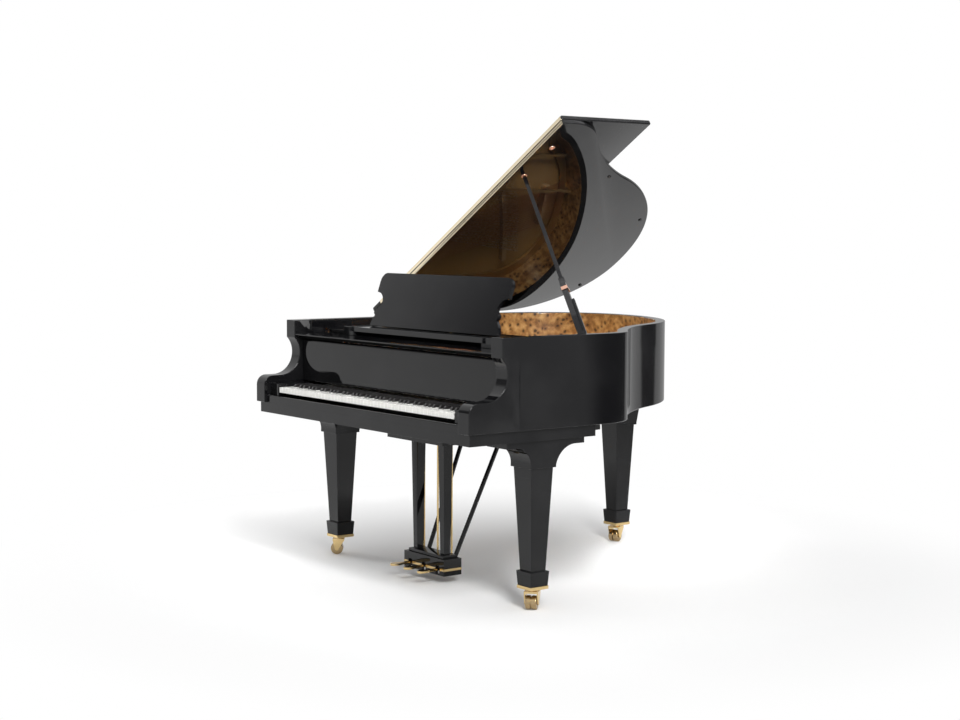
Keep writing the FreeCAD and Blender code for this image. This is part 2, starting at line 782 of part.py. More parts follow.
node("white_keys", solids("white_keys", [white_key(*key[1:]) for key in KEYS if key[0]]))
node("black_keys", solids("black_keys", [sharp_key(key[3], key[4]) for key in KEYS if not key[0]]))

# Key frame: front, balance and back rails on two end bars. The action stands on its back rail.
KEY_FLOOR = "key_top - key_thickness"
RAILS = (("front_rail", "key_front + 8", "60", "20"),
         ("balance_rail", "balance_line - 25", "50", KEY_FLOOR + " - 4 - rim_bottom"),
         ("balance_rib", "balance_line - 3", "6", KEY_FLOOR + " - rail_seat_gap - rim_bottom"),
         ("back_rail", "key_end - 40", "90", "back_rail_height"))
frame_bars = [box(name, "-" + FRAME_HALF, front, "rim_bottom", "2 * " + FRAME_HALF, depth, height)
              for name, front, depth, height in RAILS]
for name, across in (("bass_bar", "-" + FRAME_HALF), ("treble_bar", FRAME_HALF + " - 18")):
    frame_bars.append(box(name, across, "key_front + 8", "rim_bottom", "18", "key_end + 42 - key_front", "20"))
node("key_frame", fuse("key_frame", *frame_bars))


def hammer(slot_left, slot_right):
    """A hammer: a thin shank from its pivot, with a pear-shaped head. It is drawn at the blow, with its
    head just under the string, and then turned down to rest."""
    width = size("hammer_width")
    left = (slot_left + slot_right - width) / 2
    pivot, level = size("hammer_pivot"), size("hammer_height")
    head = pivot + size("hammer_reach")
    top = size(STRING + " - hammer_strike_gap")
    profile = [(pivot, level - 3), (head - 9, level - 3), (head - 7, level - 11), (head + 6, level - 11),
               (head + 10, top - 22), (head, top), (head - 10, top - 22), (head - 9, level + 3), (pivot, level + 3)]
    raised = side_cut(profile, left, width)
    raised.rotate(FreeCAD.Vector(0, pivot, level), FreeCAD.Vector(1, 0, 0), -size("hammer_blow"))
    return raised


node("natural_hammers", solids("natural_hammers", [hammer(*key[3:]) for key in KEYS if key[0]]))
node("sharp_hammers", solids("sharp_hammers", [hammer(*key[3:]) for key in KEYS if not key[0]]))
RAIL_TOP = "hammer_height - 4 - rail_seat_gap"
rail = box("hammer_rail", "-" + FRAME_HALF, "hammer_pivot - 18", RAIL_TOP + " - hammer_rail_height",
           "2 * " + FRAME_HALF, "20", "hammer_rail_height")
stands = [box("stand%d" % count, "-%s + %d * (2 * %s - 8) / 3" % (FRAME_HALF, count, FRAME_HALF), "key_end + 4",
              "rim_bottom + back_rail_height", "8", "44",
              RAIL_TOP + " - hammer_rail_height - rim_bottom - back_rail_height") for count in range(4)]
node("action_stand", fuse("action_stand", rail, *stands))

# Plate: a flange round the case, a web for the tuning pins, and bars that bridge the strings.
PLATE_IN = WALL_INNER + " + plate_gap"
PLATE_TOP = "plate_bottom + plate_thickness"
web = case_slab("plate_casting", PLATE_IN, "plate_front", "plate_bottom", "plate_thickness")
well = case_slab("plate_well", PLATE_IN + " + plate_flange", "plate_web_end", "plate_bottom", "plate_thickness")
UP = FreeCAD.Vector(0, 0, 1)


def clipped(inset, start, end):
    """Where a straight line over the plan, running to the tail, last meets the case outline."""
    (c1, r1), (c2, r2), (c3, r3), (c4, r4) = case_circles(inset)
    turn_flank = math.atan2(c3.y - c2.y, c3.x - c2.x)
    turn_shoulder = math.atan2(c3.y - c4.y, c3.x - c4.x)
    half = size("case_width / 2") - inset
    wall = [Part.makeLine(FreeCAD.Vector(half, 0, 0), FreeCAD.Vector(half, c4.y, 0)),
            Part.makeLine(FreeCAD.Vector(-half, 0, 0), FreeCAD.Vector(-half, c1.y, 0)),
            Part.ArcOfCircle(Part.Circle(c1, UP, r1), math.pi / 2, math.pi).toShape(),
            Part.ArcOfCircle(Part.Circle(c2, UP, r2), turn_flank, math.pi / 2).toShape(),
            Part.ArcOfCircle(Part.Circle(c3, UP, r3), turn_flank - math.pi, turn_shoulder - math.pi).toShape(),
            Part.ArcOfCircle(Part.Circle(c4, UP, r4), 0, turn_shoulder).toShape()]
    line = Part.makeLine(start, end)
    meetings = [line.distToShape(edge) for edge in wall]
    hits = [found[1][0][0] for found in meetings if found[0] < 1e-6]
    return max(hits, key=lambda p: p.y)


def bar_between(start, end, width, bottom, height):
    """A level bar of a width along the line from start to end."""
    along = FreeCAD.Vector(end.x - start.x, end.y - start.y, 0)
    side = FreeCAD.Vector(-along.y, along.x, 0).normalize() * (width / 2)
    return lifted([(p.x, p.y) for p in (start - side, end - side, end + side, start + side)], bottom, height)


# The long bridge bows under all the plain strings, from the top treble to the tenor's low end.
BRIDGE_PATH = Part.Arc(FreeCAD.Vector(size("case_width / 2 - bridge_treble_in"), size("bridge_treble_depth"), 0),
                       FreeCAD.Vector(size("bridge_middle_across"), size("bridge_middle_depth"), 0),
                       FreeCAD.Vector(size("bridge_tenor_in - case_width / 2"), size("bridge_tenor_depth"), 0))


def string_line(note):
    """Plan line of a note's string, from its tuning pin over its bridge to its hitch. It passes over its
    hammer on the strike line. Bass strings lean to the treble and cross over the tenor's; the lean of
    the others dies away towards the top note."""
    middle = (KEYS[note][3] + KEYS[note][4]) / 2
    row = size("pin_row_front + pin_size") + (note % 3) * size("pin_row_step")
    bass = size("bass_notes")
    if note < bass:
        lean = math.radians(size("bass_lean"))
        middle -= size("bass_break")
    else:
        lean = -math.radians(size("tenor_lean")) * (NOTES - note) / (NOTES - bass)
    run = FreeCAD.Vector(math.sin(lean), math.cos(lean), 0)
    over = FreeCAD.Vector(middle, size("strike_line"), 0)
    start = over - run * ((over.y - row) / run.y)
    far = start + run * size("2 * case_length")
    hitch = clipped(size(PLATE_IN + " + hitch_edge"), start, far)
    if note >= bass:
        crossing = Part.makeLine(start, far).distToShape(BRIDGE_PATH.toShape())[1][0][0]
        behind = crossing + run * size("back_length")
        hitch = min(hitch, behind, key=lambda p: p.y)
    return start, hitch


LINES = [string_line(note) for note in range(NOTES)]
BASS = int(size("bass_notes"))
node("bass_strings", solids("bass_strings", [
    bar_between(a, b, size("bass_string_width"), size(BASS_STRING), size("bass_string_width"))
    for a, b in LINES[:BASS]]))
node("plain_strings", solids("plain_strings", [
    bar_between(a, b, size("string_width"), size(STRING), size("string_width")) for a, b in LINES[BASS:]]))


def pin(note):
    """A square-headed tuning pin in front of its string."""
    side = size("pin_size")
    start = LINES[note][0]
    return Part.makeBox(side, side, size("pin_height"),
                        FreeCAD.Vector(start.x - side / 2, start.y - side - size("pin_gap"), size(PLATE_TOP)))


node("tuning_pins", solids("tuning_pins", [pin(note) for note in range(NOTES)]))
node("pin_block", box("pin_block", "%s - case_width / 2" % PLATE_IN, "plate_front", "pin_block_bottom",
                      "case_width - 2 * (%s)" % PLATE_IN, "pin_block_end - plate_front",
                      "plate_bottom - pin_block_bottom"))
node("string_felt", box("string_felt", "-" + FRAME_HALF, "felt_front", PLATE_TOP, "2 * " + FRAME_HALF,
                        "felt_width", STRING + " - felt_gap - (%s)" % PLATE_TOP))


def plate_bar(note):
    """A bar of the plate between two strings, carried over them on a post at each end."""
    start = (LINES[note][0] + LINES[note + 1][0]) * 0.5
    end = (LINES[note][1] + LINES[note + 1][1]) * 0.5
    run = FreeCAD.Vector(end.x - start.x, end.y - start.y, 0).normalize()
    post_length = size("bar_post_length")
    front = start + run * ((size("plate_web_end") - post_length - 4 - start.y) / run.y)
    tail = clipped(size(PLATE_IN + " + bar_edge"), front, front + run * size("2 * case_length"))
    width, bottom, foot = size("bar_width"), size("bar_bottom"), size(PLATE_TOP)
    span = bar_between(front, tail, width, bottom, size("bar_height"))
    posts = [bar_between(front, front + run * post_length, size("bar_post"), foot, bottom - foot),
             bar_between(tail - run * post_length, tail, width, foot, bottom - foot)]
    return span.fuse(posts)


bars = solids("plate_bars", [plate_bar(note) for note in (44, 59, 74)])
node("plate", fuse("plate", cut("plate_flanges", web, well), bars))

# Bridges stand on the soundboard and carry the strings over it.
SOUND_TOP = "soundboard_bottom + soundboard_thickness"


def long_bridge():
    level = size(SOUND_TOP)
    edge = BRIDGE_PATH.toShape()
    centre, bend = edge.Curve.Center, edge.Curve.Radius
    half = size("bridge_width") / 2
    ends = [edge.valueAt(edge.FirstParameter), edge.valueAt(edge.LastParameter)]
    middle = edge.valueAt((edge.FirstParameter + edge.LastParameter) / 2)
    arcs = []
    for reach in (bend - half, bend + half):
        a, m, b = [centre + (p - centre).normalize() * reach for p in (ends[0], middle, ends[1])]
        arcs.append((a, Part.Arc(a, m, b).toShape(), b))
    sides = [Part.makeLine(arcs[0][0], arcs[1][0]), Part.makeLine(arcs[0][2], arcs[1][2])]
    plan = Part.Face(Part.Wire(Part.__sortEdges__([arcs[0][1], arcs[1][1]] + sides)))
    plan.translate(FreeCAD.Vector(0, 0, level))
    return plan.extrude(FreeCAD.Vector(0, 0, size(STRING) - level))


def bass_bridge():
    """A straight bar behind the long bridge, under the bass strings alone."""
    reach = size("back_length + bridge_width")
    ends = []
    for note, beyond in ((0, -1), (BASS - 1, 1)):
        a, b = LINES[note]
        run = FreeCAD.Vector(b.x - a.x, b.y - a.y, 0).normalize()
        ends.append(b - run * reach + FreeCAD.Vector(beyond * 12, 0, 0))
    return bar_between(ends[0], ends[1], size("bridge_width"), size(SOUND_TOP),
                       size(BASS_STRING) - size(SOUND_TOP))


node("bridges", solids("bridges", [long_bridge(), bass_bridge()]))


def damper(note):
    """A damper: a felted head on its string and a wire beside the string down to its lever."""
    a, b = LINES[note]
    front, length = size("damper_front"), size("damper_length")
    middle = a.x + (b.x - a.x) * (front + length / 2 - a.y) / (b.y - a.y)
    level = size(STRING + " + string_width + damper_gap")
    if note < BASS:
        level = size(BASS_STRING + " + bass_string_width + damper_gap")
    width, wire = size("damper_width"), size("damper_wire")
    head = Part.makeBox(width, length, size("damper_height"), FreeCAD.Vector(middle - width / 2, front, level))
    low = size("damper_wire_bottom")
    stem = Part.makeBox(wire, wire, level - low, FreeCAD.Vector(middle + size("damper_wire_offset") - wire / 2,
                                                               front + (length - wire) / 2, low))
    return head.fuse(stem)


node("dampers", solids("dampers", [damper(note) for note in range(int(size("damper_notes")))]))

# Music desk: rails on the stretcher, reaching back to arms on the case sides; a shelf that slides in them.
rail_base = box("desk_rail_base", "desk_rail_inner - desk_rail_ledge", "desk_rail_front", "stretcher_top",
                "desk_rail_outer - desk_rail_inner + desk_rail_ledge", "desk_rail_end - desk_rail_front",
                "desk_ledge_top - stretcher_top")
rail_guide = box("desk_rail_guide", "desk_rail_inner", "desk_rail_front", "desk_ledge_top",
                 "desk_rail_outer - desk_rail_inner", "desk_rail_end - desk_rail_front",
                 "desk_rail_top - desk_ledge_top")
rail_arm = box("desk_rail_arm", "desk_rail_outer", "desk_arm_front", "stretcher_top",
               "case_width / 2 - (%s) - desk_rail_outer" % WALL_INNER, "desk_arm_width",
               "desk_ledge_top - stretcher_top")
desk_rail = fuse("treble_desk_rail", rail_base, rail_guide, rail_arm)
node("desk_rails", group("desk_rails", desk_rail, mirror("bass_desk_rail", desk_rail)))
SHELF_LOW = "desk_ledge_top + desk_shelf_gap"
shelf_board = box("desk_shelf_board", "desk_side_gap - desk_rail_inner", "desk_bar_front + desk_bar_depth", SHELF_LOW,
                  "2 * (desk_rail_inner - desk_side_gap)", "desk_shelf_end - desk_bar_front - desk_bar_depth",
                  "desk_rail_top - (%s)" % SHELF_LOW)
shelf_bar = box("desk_shelf_bar", "-desk_bar_half", "desk_bar_front", SHELF_LOW, "2 * desk_bar_half",
                "desk_bar_depth", "desk_rail_top - (%s)" % SHELF_LOW)
ledge_groove = box("ledge_groove", "-desk_rail_inner", "desk_hinge_depth - ledge_groove_set",
                   "desk_rail_top - ledge_groove_depth", "2 * desk_rail_inner", "ledge_groove_width",
                   "ledge_groove_depth + cut_margin")
node("desk_shelf", cut("desk_shelf", fuse("desk_shelf_solid", shelf_board, shelf_bar), ledge_groove))

# Desk panel: an upright board with scrolled ends, leaning back on a hinge line along its rear foot.
# Its own frame has that hinge line as X, its height as Z and its thickness towards -Y.
ACROSS = "desk_half_width"
RIGHT_END = [
    (ACROSS + " - 10", "0", "65"), (ACROSS + " - 29", "47"), (ACROSS + " - 43", "62", "13"),
    (ACROSS + " - 41", "86"), (ACROSS + " - 55", "97", "-46"), (ACROSS + " - 24", "142"), (ACROSS, "147"),
    (ACROSS, "desk_height - desk_corner_radius", "desk_corner_radius"), (ACROSS + " - desk_corner_radius", "desk_height")]
flipped = []
for here, before in zip(reversed(RIGHT_END), reversed([None] + RIGHT_END[:-1])):
    bend = before[2:] if before else ()
    flipped.append(("-(%s)" % here[0], here[1]) + bend)
panel = body("desk_board")
pad(panel, outline(sketch(panel, "desk_front", "XZ_Plane", "0"), RIGHT_END + flipped), "desk_thickness")
RECESS = "strut_sink + strut_thickness / 2 + strut_gap"
STRUT_LENGTH = ("((strut_rise * cos(desk_lean) + strut_sink * sin(desk_lean) + desk_hinge_gap - strut_gap)"
                " - strut_thickness / 2 * cos(strut_angle)) / sin(strut_angle)")
recess = box("strut_recess", "-strut_width / 2 - strut_gap", "-(%s)" % RECESS, "strut_rise - 2 * strut_thickness",
             "strut_width + 2 * strut_gap", RECESS, "(%s) + 2 * strut_thickness + 4" % STRUT_LENGTH)
bearing = rod("strut_bearing", "-strut_width / 2 - 6", "-strut_sink", "strut_rise",
              "strut_pin_radius + strut_pin_fit", "strut_width + 12", (1, 0, 0))
panel = cut("desk_panel", panel, recess, bearing)
panel.Placement.Rotation = FreeCAD.Rotation(FreeCAD.Vector(-1, 0, 0), 10)
bind(panel, "Placement.Rotation.Angle", "desk_lean")
place(panel, "0", "desk_hinge_depth", "desk_rail_top + desk_hinge_gap")
node("desk_panel", panel)

strut_arm = box("strut_arm", "-strut_width / 2", "0", "-strut_thickness / 2", "strut_width", STRUT_LENGTH,
                "strut_thickness")
strut_pin = rod("strut_pin", "-strut_width / 2 - 5", "0", "0", "strut_pin_radius", "strut_width + 10", (1, 0, 0))
strut = fuse("desk_strut", strut_arm, strut_pin)
strut.Placement.Rotation = FreeCAD.Rotation(FreeCAD.Vector(-1, 0, 0), 10)
bind(strut, "Placement.Rotation.Angle", "strut_angle")
place(strut, "0", "desk_hinge_depth + strut_rise * sin(desk_lean) - strut_sink * cos(desk_lean)",
      "desk_rail_top + desk_hinge_gap + strut_rise * cos(desk_lean) + strut_sink * sin(desk_lean)")
node("desk_strut", strut)

# Lid. Its pieces share one frame: the hinge line as Y, the lid's width as X and its thickness as Z. It stands
# out past the rim all round, except along the hinges.


def on_lid(thing):
    """Carry a piece drawn in the lid's frame to where the lid stands open."""
    thing.Placement.Rotation = FreeCAD.Rotation(FreeCAD.Vector(0, -1, 0), 10)
    bind(thing, "Placement.Rotation.Angle", "lid_angle")
    place(thing, "-case_width / 2 - lid_hinge_standoff", "0", "rim_top + lid_hinge_lift")
    return thing


LID_TOP = "lid_gap + lid_thickness"
FLAP_LOW = LID_TOP + " + fold_gap"
FOLD_AXIS = "fold_line - leaf_thickness - leaf_setback"
lid = body("main_lid")
lid_plan = case_outline(lid, "lid_plan", "-lid_overhang", "fold_line", "lid_gap", "0 * lid_overhang")
bind(lid_plan, "AttachmentOffset.Base.x", "case_width / 2 + lid_hinge_standoff")
pad(lid, lid_plan, "lid_thickness")
node("main_lid", on_lid(lid))

# The flap lies folded back on the lid; its free edge is rounded.
flap = body("front_flap")
flap_side = sketch(flap, "flap_side", "YZ_Plane", "lid_hinge_standoff")
outline(flap_side, [("fold_line", FLAP_LOW), ("fold_line + flap_width - flap_round", FLAP_LOW, "flap_round"),
                    ("fold_line + flap_width", FLAP_LOW + " + flap_round"),
                    ("fold_line + flap_width", FLAP_LOW + " + lid_thickness - 2", "2"),
                    ("fold_line + flap_width - 2", FLAP_LOW + " + lid_thickness"),
                    ("fold_line", FLAP_LOW + " + lid_thickness")])
pad(flap, flap_side, "case_width + lid_overhang")
node("front_flap", on_lid(flap))

# Fold: a brass leaf on the edge of each board, and a thin barrel that the lid's leaf carries.
LEAF_START = "lid_hinge_standoff + leaf_hinge_margin"
LEAF_RUN = "case_width + lid_overhang - leaf_margin - leaf_hinge_margin"
LEAF_TALL = "lid_thickness - leaf_inset"
lid_leaf = box("lid_leaf", LEAF_START, "fold_line - leaf_thickness", "lid_gap + leaf_inset", LEAF_RUN,
               "leaf_thickness", LEAF_TALL)
barrel_web = box("barrel_web", LEAF_START, FOLD_AXIS, LID_TOP + " + fold_gap / 2 - barrel_radius", LEAF_RUN,
                 "leaf_setback + leaf_thickness", "barrel_radius - fold_gap / 2")
barrel = rod("barrel", LEAF_START, FOLD_AXIS, LID_TOP + " + fold_gap / 2", "barrel_radius", LEAF_RUN, (1, 0, 0))
flap_leaf = box("flap_leaf", LEAF_START, "fold_line - leaf_thickness", FLAP_LOW, LEAF_RUN, "leaf_thickness",
                LEAF_TALL)
node("flap_edge_leaf", on_lid(group("flap_edge_leaf", flap_leaf)))

# Butt hinges along the bass side: two outer knuckles and the pin belong to the rim's leaf, the middle
# knuckle to the lid's leaf.
THIRD = "lid_hinge_length / 3"
HINGE_X = "-case_width / 2 - lid_hinge_standoff"
HINGE_Z = "rim_top + lid_hinge_lift"
rim_hinges = []
lid_hinges = []
for count in range(3):
    start = "(lid_hinge_first + %d * lid_hinge_pitch)" % count
    tag = "hinge%d_" % count
    pieces = [box(tag + "plate", "-case_width / 2 - hinge_plate", start, HINGE_Z + " - knuckle_radius - hinge_plate_drop",
                  "hinge_plate", "lid_hinge_length", "hinge_plate_drop - knuckle_gap"),
              rod(tag + "pin", HINGE_X, start, HINGE_Z, "knuckle_radius / 2", "lid_hinge_length", (0, 1, 0))]
    for end, shift in (("near", "0"), ("far", "2 * " + THIRD)):
        low = "%s + %s" % (start, shift)
        pieces.append(rod(tag + end, HINGE_X, low, HINGE_Z, "knuckle_radius", THIRD, (0, 1, 0)))
        pieces.append(box(tag + end + "_web", HINGE_X, low, HINGE_Z + " - 2 * knuckle_radius",
                          "lid_hinge_standoff", THIRD, "2 * knuckle_radius - lid_hinge_lift"))
    rim_hinges.append(fuse(tag + "rim_leaf", *pieces))
    middle = "%s + %s + knuckle_gap" % (start, THIRD)
    width = THIRD + " - 2 * knuckle_gap"
    knuckle = fuse(tag + "lid_solid",
                   rod(tag + "middle", "0", middle, "0", "knuckle_radius", width, (0, 1, 0)),
                   box(tag + "middle_web", "0", middle, "0", "lid_hinge_standoff - hinge_plate", width,
                       "lid_gap + 2 * knuckle_radius"),
                   box(tag + "lid_plate", "lid_hinge_standoff - hinge_plate", start, "lid_gap + hinge_plate_lift",
                       "hinge_plate", "lid_hinge_length", "lid_thickness - hinge_plate_lift"))
    bore = rod(tag + "bore", "0", middle, "0", "knuckle_radius / 2 + hinge_fit", width, (0, 1, 0))
    lid_hinges.append(cut(tag + "lid_leaf", knuckle, bore))
node("rim_hinge_leaves", group("rim_hinge_leaves", *rim_hinges))
edge_leaf = fuse("lid_edge_leaf", lid_leaf, barrel_web, barrel)
node("lid_hinge_leaves", on_lid(group("lid_hinge_leaves", edge_leaf, *lid_hinges)))

# Prop cups and rubber bumpers under the lid; the bumpers meet the rim's top when the lid is shut.
cups = [rod("prop_cup%d" % count, reach, "prop_cup_depth", "lid_gap - cup_height", "cup_radius", "cup_height")
        for count, reach in enumerate(("prop_cup_reach", "spare_cup_reach"))]
node("prop_cups", on_lid(group("prop_cups", *cups)))


def bumpers():
    """Three bumpers above the middle of the rim's wall: at the waist, the flank and the tail corner."""
    corner, flank, waist, shoulder = case_circles(size("rim_wall") / 2)
    height = size("lid_gap + lid_hinge_lift - bumper_gap")
    shapes = []
    for (centre, bend), angle in ((waist, 209.7), (flank, 57), (corner, 116)):
        turn = math.radians(angle)
        spot = centre + FreeCAD.Vector(math.cos(turn), math.sin(turn), 0) * bend
        low = FreeCAD.Vector(spot.x + size("case_width / 2 + lid_hinge_standoff"), spot.y, size("lid_gap") - height)
        shapes.append(Part.makeCylinder(size("bumper_radius"), height, low))
    return shapes


node("lid_bumpers", on_lid(solids("lid_bumpers", bumpers())))

# Lid prop. Its own frame has the prop's length as X and the pin that it swings on as Z.
LID_TURN = FreeCAD.Rotation(FreeCAD.Vector(0, -1, 0), size("lid_angle"))
LID_FOOT = FreeCAD.Vector(size(HINGE_X), 0, size(HINGE_Z))
PROP_BASE = FreeCAD.Vector(size("case_width / 2 - prop_base_in"), size("prop_base_depth"), size("rim_top - prop_base_drop"))
CUP = LID_FOOT + LID_TURN.multVec(FreeCAD.Vector(size("prop_cup_reach"), size("prop_cup_depth"), size("lid_gap - cup_height")))
ALONG = (CUP - PROP_BASE).normalize()
STOW = FreeCAD.Vector(math.cos(math.radians(size("stow_turn"))), math.sin(math.radians(size("stow_turn"))), 0)
SWING = ALONG.cross(STOW).normalize()
SLANT = ALONG.getAngle(LID_TURN.multVec(FreeCAD.Vector(0, 0, 1)))
PROP_LENGTH = (CUP - PROP_BASE).Length - size("prop_tip_gap") - size("prop_tip_width") / 2 * math.tan(SLANT)
PROP_FRAME = FreeCAD.Placement(PROP_BASE, FreeCAD.Rotation(ALONG, SWING.cross(ALONG), SWING, "XYZ"))
sheet.set("A%d" % (len(SIZES) + 1), "prop_length")
sheet.set("B%d" % (len(SIZES) + 1), repr(PROP_LENGTH))
sheet.setAlias("B%d" % (len(SIZES) + 1), "prop_length")
ALIASES.add("prop_length")
doc.recompute()

stick = body("prop_stick")
stick_plan = sketch(stick, "stick_plan", "XY_Plane", "-prop_slim / 2")
outline(stick_plan, [("0", "-prop_slim / 2"), ("prop_length", "-prop_tip_width / 2"),
                     ("prop_length", "prop_tip_width / 2"), ("0", "prop_slim / 2")])
pad(stick, stick_plan, "prop_slim")
broad = body("prop_broad")
broad_plan = sketch(broad, "broad_plan", "XY_Plane", "-prop_thick / 2")
outline(broad_plan, [("0", "-prop_wide / 2"), ("prop_wide_length", "-prop_wide / 2", "-prop_shoulder"),
                     ("prop_wide_length + prop_shoulder_run", "-prop_slim / 2"),
                     ("prop_wide_length + prop_shoulder_run", "prop_slim / 2", "-prop_shoulder"),
                     ("prop_wide_length", "prop_wide / 2"), ("0", "prop_wide / 2", "prop_wide / 2")])
pad(broad, broad_plan, "prop_thick")
eye = rod("prop_eye", "0", "0", "-prop_thick", "prop_pin_radius + prop_pin_fit", "2 * prop_thick")
prop = cut("lid_prop", fuse("prop_wood", stick, broad), eye)
prop.Placement = PROP_FRAME
node("lid_prop", prop)

# Catch: a metal ring round the broad part, open on one side.
catch_outer = box("catch_outer", "catch_place", "-prop_wide / 2 - catch_wall", "-prop_thick / 2 - catch_wall",
                  "catch_width", "prop_wide + 2 * catch_wall", "prop_thick + catch_wall")
catch_inner = box("catch_inner", "catch_place", "-prop_wide / 2", "-prop_thick / 2", "catch_width", "prop_wide",
                  "prop_thick + catch_wall")
catch = cut("prop_catch", catch_outer, catch_inner)
catch.Placement = PROP_FRAME
node("prop_catch", catch)

# Short prop: a lighter stick on the same pin, beside the long one.
SHORT_LOW = "-prop_thick / 2 - short_prop_gap - short_prop_size"
short_arm = box("short_arm", "0", "-short_prop_width / 2", SHORT_LOW, "short_prop_length", "short_prop_width",
                "short_prop_size")
short_foot = rod("short_foot", "0", "0", SHORT_LOW, "prop_pin_radius + short_foot_wall", "short_prop_size")
short_eye = rod("short_eye", "0", "0", SHORT_LOW, "prop_pin_radius + prop_pin_fit", "short_prop_size")
short = cut("short_prop", fuse("short_wood", short_arm, short_foot), short_eye)
short.Placement = PROP_FRAME
node("short_prop", short)

# Bracket: a plate on the lining with the pin that both props turn on, a collar and a head.
PIN_WALL = size("case_width / 2 - (%s) - bracket_plate / 2" % WALL_INNER)
PIN_BACK = (PIN_WALL - PROP_BASE.x) / -SWING.x


def prop_bracket():
    lowest = size(SHORT_LOW + " - short_prop_gap")
    top = size("prop_thick / 2 + short_prop_gap")
    bolt = size("prop_pin_radius")
    pieces = [Part.makeCylinder(bolt, PIN_BACK + top + 4, FreeCAD.Vector(0, 0, -PIN_BACK)),
              Part.makeCylinder(bolt + 4, 4, FreeCAD.Vector(0, 0, lowest - 4)),
              Part.makeCylinder(bolt + 4, 4, FreeCAD.Vector(0, 0, top))]
    for piece in pieces:
        piece.Placement = PROP_FRAME
    wall = size("case_width / 2 - (%s)" % WALL_INNER)
    foot = PROP_BASE - SWING * PIN_BACK
    thick, tall, wide = size("bracket_plate"), size("bracket_tall"), size("bracket_wide")
    plate = Part.makeBox(thick, wide, tall, FreeCAD.Vector(wall - thick, foot.y - wide / 2, size("rim_top - lining_drop") - tall))
    inside = Part.makeBox(400, 800, 800, FreeCAD.Vector(wall - 400, foot.y - 400, foot.z - 400))
    return plate.fuse(pieces).common(inside)


node("prop_bracket", solids("prop_bracket", prop_bracket().Solids))

# Legs: a square tapering post between a collar and a cuff. The front legs carry a bracket that sweeps
# forwards and back under the keybed; the tail leg stands under a plate on the rim.
COLLAR_TOP = "leg_collar_bottom + leg_collar_height"


def leg_post(tag, across, depth):
    post = taper(tag + "_post", across, depth, "cuff_top", "leg_foot_width", "leg_foot_width", "leg_top_width",
                 "leg_top_width", "leg_collar_bottom - cuff_top")
    cuff = taper(tag + "_cuff", across, depth, "cuff_bottom", "cuff_bottom_width", "cuff_bottom_width",
                 "cuff_top_width", "cuff_top_width", "cuff_top - cuff_bottom")
    collar = box(tag + "_collar", "%s - leg_collar_width / 2" % across, "%s - leg_collar_width / 2" % depth,
                 "leg_collar_bottom", "leg_collar_width", "leg_collar_width", "leg_collar_height")
    bore = rod(tag + "_bore", across, depth, "cuff_bottom", "stem_radius + stem_fit", "stem_length")
    return post, cuff, collar, bore


sweep = body("bracket_sweep")
sweep_side = sketch(sweep, "sweep_side", "YZ_Plane", FRONT_LEG + " - leg_collar_width / 2")
LIP = "keybed_bottom - bracket_lip"
outline(sweep_side, [("front_leg_depth - leg_collar_width / 2", COLLAR_TOP),
                     ("front_leg_depth + leg_collar_width / 2", COLLAR_TOP, "-bracket_back_bend"),
                     ("front_leg_depth + bracket_back_run", LIP), ("front_leg_depth + bracket_reach", LIP),
                     ("front_leg_depth + bracket_reach", "keybed_bottom"),
                     ("front_leg_depth - bracket_front_reach", "keybed_bottom"),
                     ("front_leg_depth - bracket_front_reach", LIP),
                     ("front_leg_depth - bracket_front_run", LIP, "-bracket_front_bend")])
pad(sweep, sweep_side, "leg_collar_width")
post, cuff, collar, bore = leg_post("front", FRONT_LEG, "front_leg_depth")
leg = cut("leg_treble", fuse("front_leg", post, cuff, collar, sweep), bore)
node("leg_treble", leg)
node("leg_bass", mirror("leg_bass", leg))
post, cuff, collar, bore = leg_post("tail", "tail_leg_across", TAIL_LEG)
PLATE_LOW = "rim_bottom - tail_plate_thickness"
cap = taper("tail_cap", "tail_leg_across", TAIL_LEG, COLLAR_TOP, "leg_collar_width", "leg_collar_width",
            "tail_cap_width", "tail_cap_width", PLATE_LOW + " - (%s)" % COLLAR_TOP)
board = box("tail_board", "tail_leg_across - tail_plate_width / 2", "case_length - tail_plate_in - tail_plate_depth", PLATE_LOW,
            "tail_plate_width", "tail_plate_depth", "tail_plate_thickness")
node("leg_tail", cut("leg_tail", fuse("tail_leg", post, cuff, collar, cap, board), bore))

# Casters: a brass band under each cuff, a fork that swivels on a stem and a pair of rollers on an axle.
LEGS = (("bass", "-" + FRONT_LEG, "front_leg_depth", "bass_swivel"),
        ("treble", FRONT_LEG, "front_leg_depth", "treble_swivel"),
        ("tail", "tail_leg_across", TAIL_LEG, "tail_swivel"))
BAND_SIDE = "cuff_bottom_width + 2 * band_proud"
bands = []
for tag, across, depth, turn in LEGS:
    band = box(tag + "_band_block", "%s - (%s) / 2" % (across, BAND_SIDE), "%s - (%s) / 2" % (depth, BAND_SIDE),
               "cuff_bottom - band_height", BAND_SIDE, BAND_SIDE, "band_height")
    bands.append(cut(tag + "_band", band, rod(tag + "_band_bore", across, depth, "cuff_bottom - band_height",
                                              "stem_radius + stem_fit", "band_height")))
node("leg_bands", group("leg_bands", *bands))

WHEEL_HALF = "roller_width + roller_groove / 2"
FORK_LOW = "2 * wheel_radius + fork_clearance"
FORK_TOP = "2 * wheel_radius + fork_clearance + fork_plate"


def on_leg(thing, across, depth, turn):
    """Stand a piece drawn about the swivel axis under its leg, turned about that axis."""
    thing.Placement.Rotation = FreeCAD.Rotation(FreeCAD.Vector(0, 0, 1), 10)
    bind(thing, "Placement.Rotation.Angle", turn)
    place(thing, across, depth)
    return thing


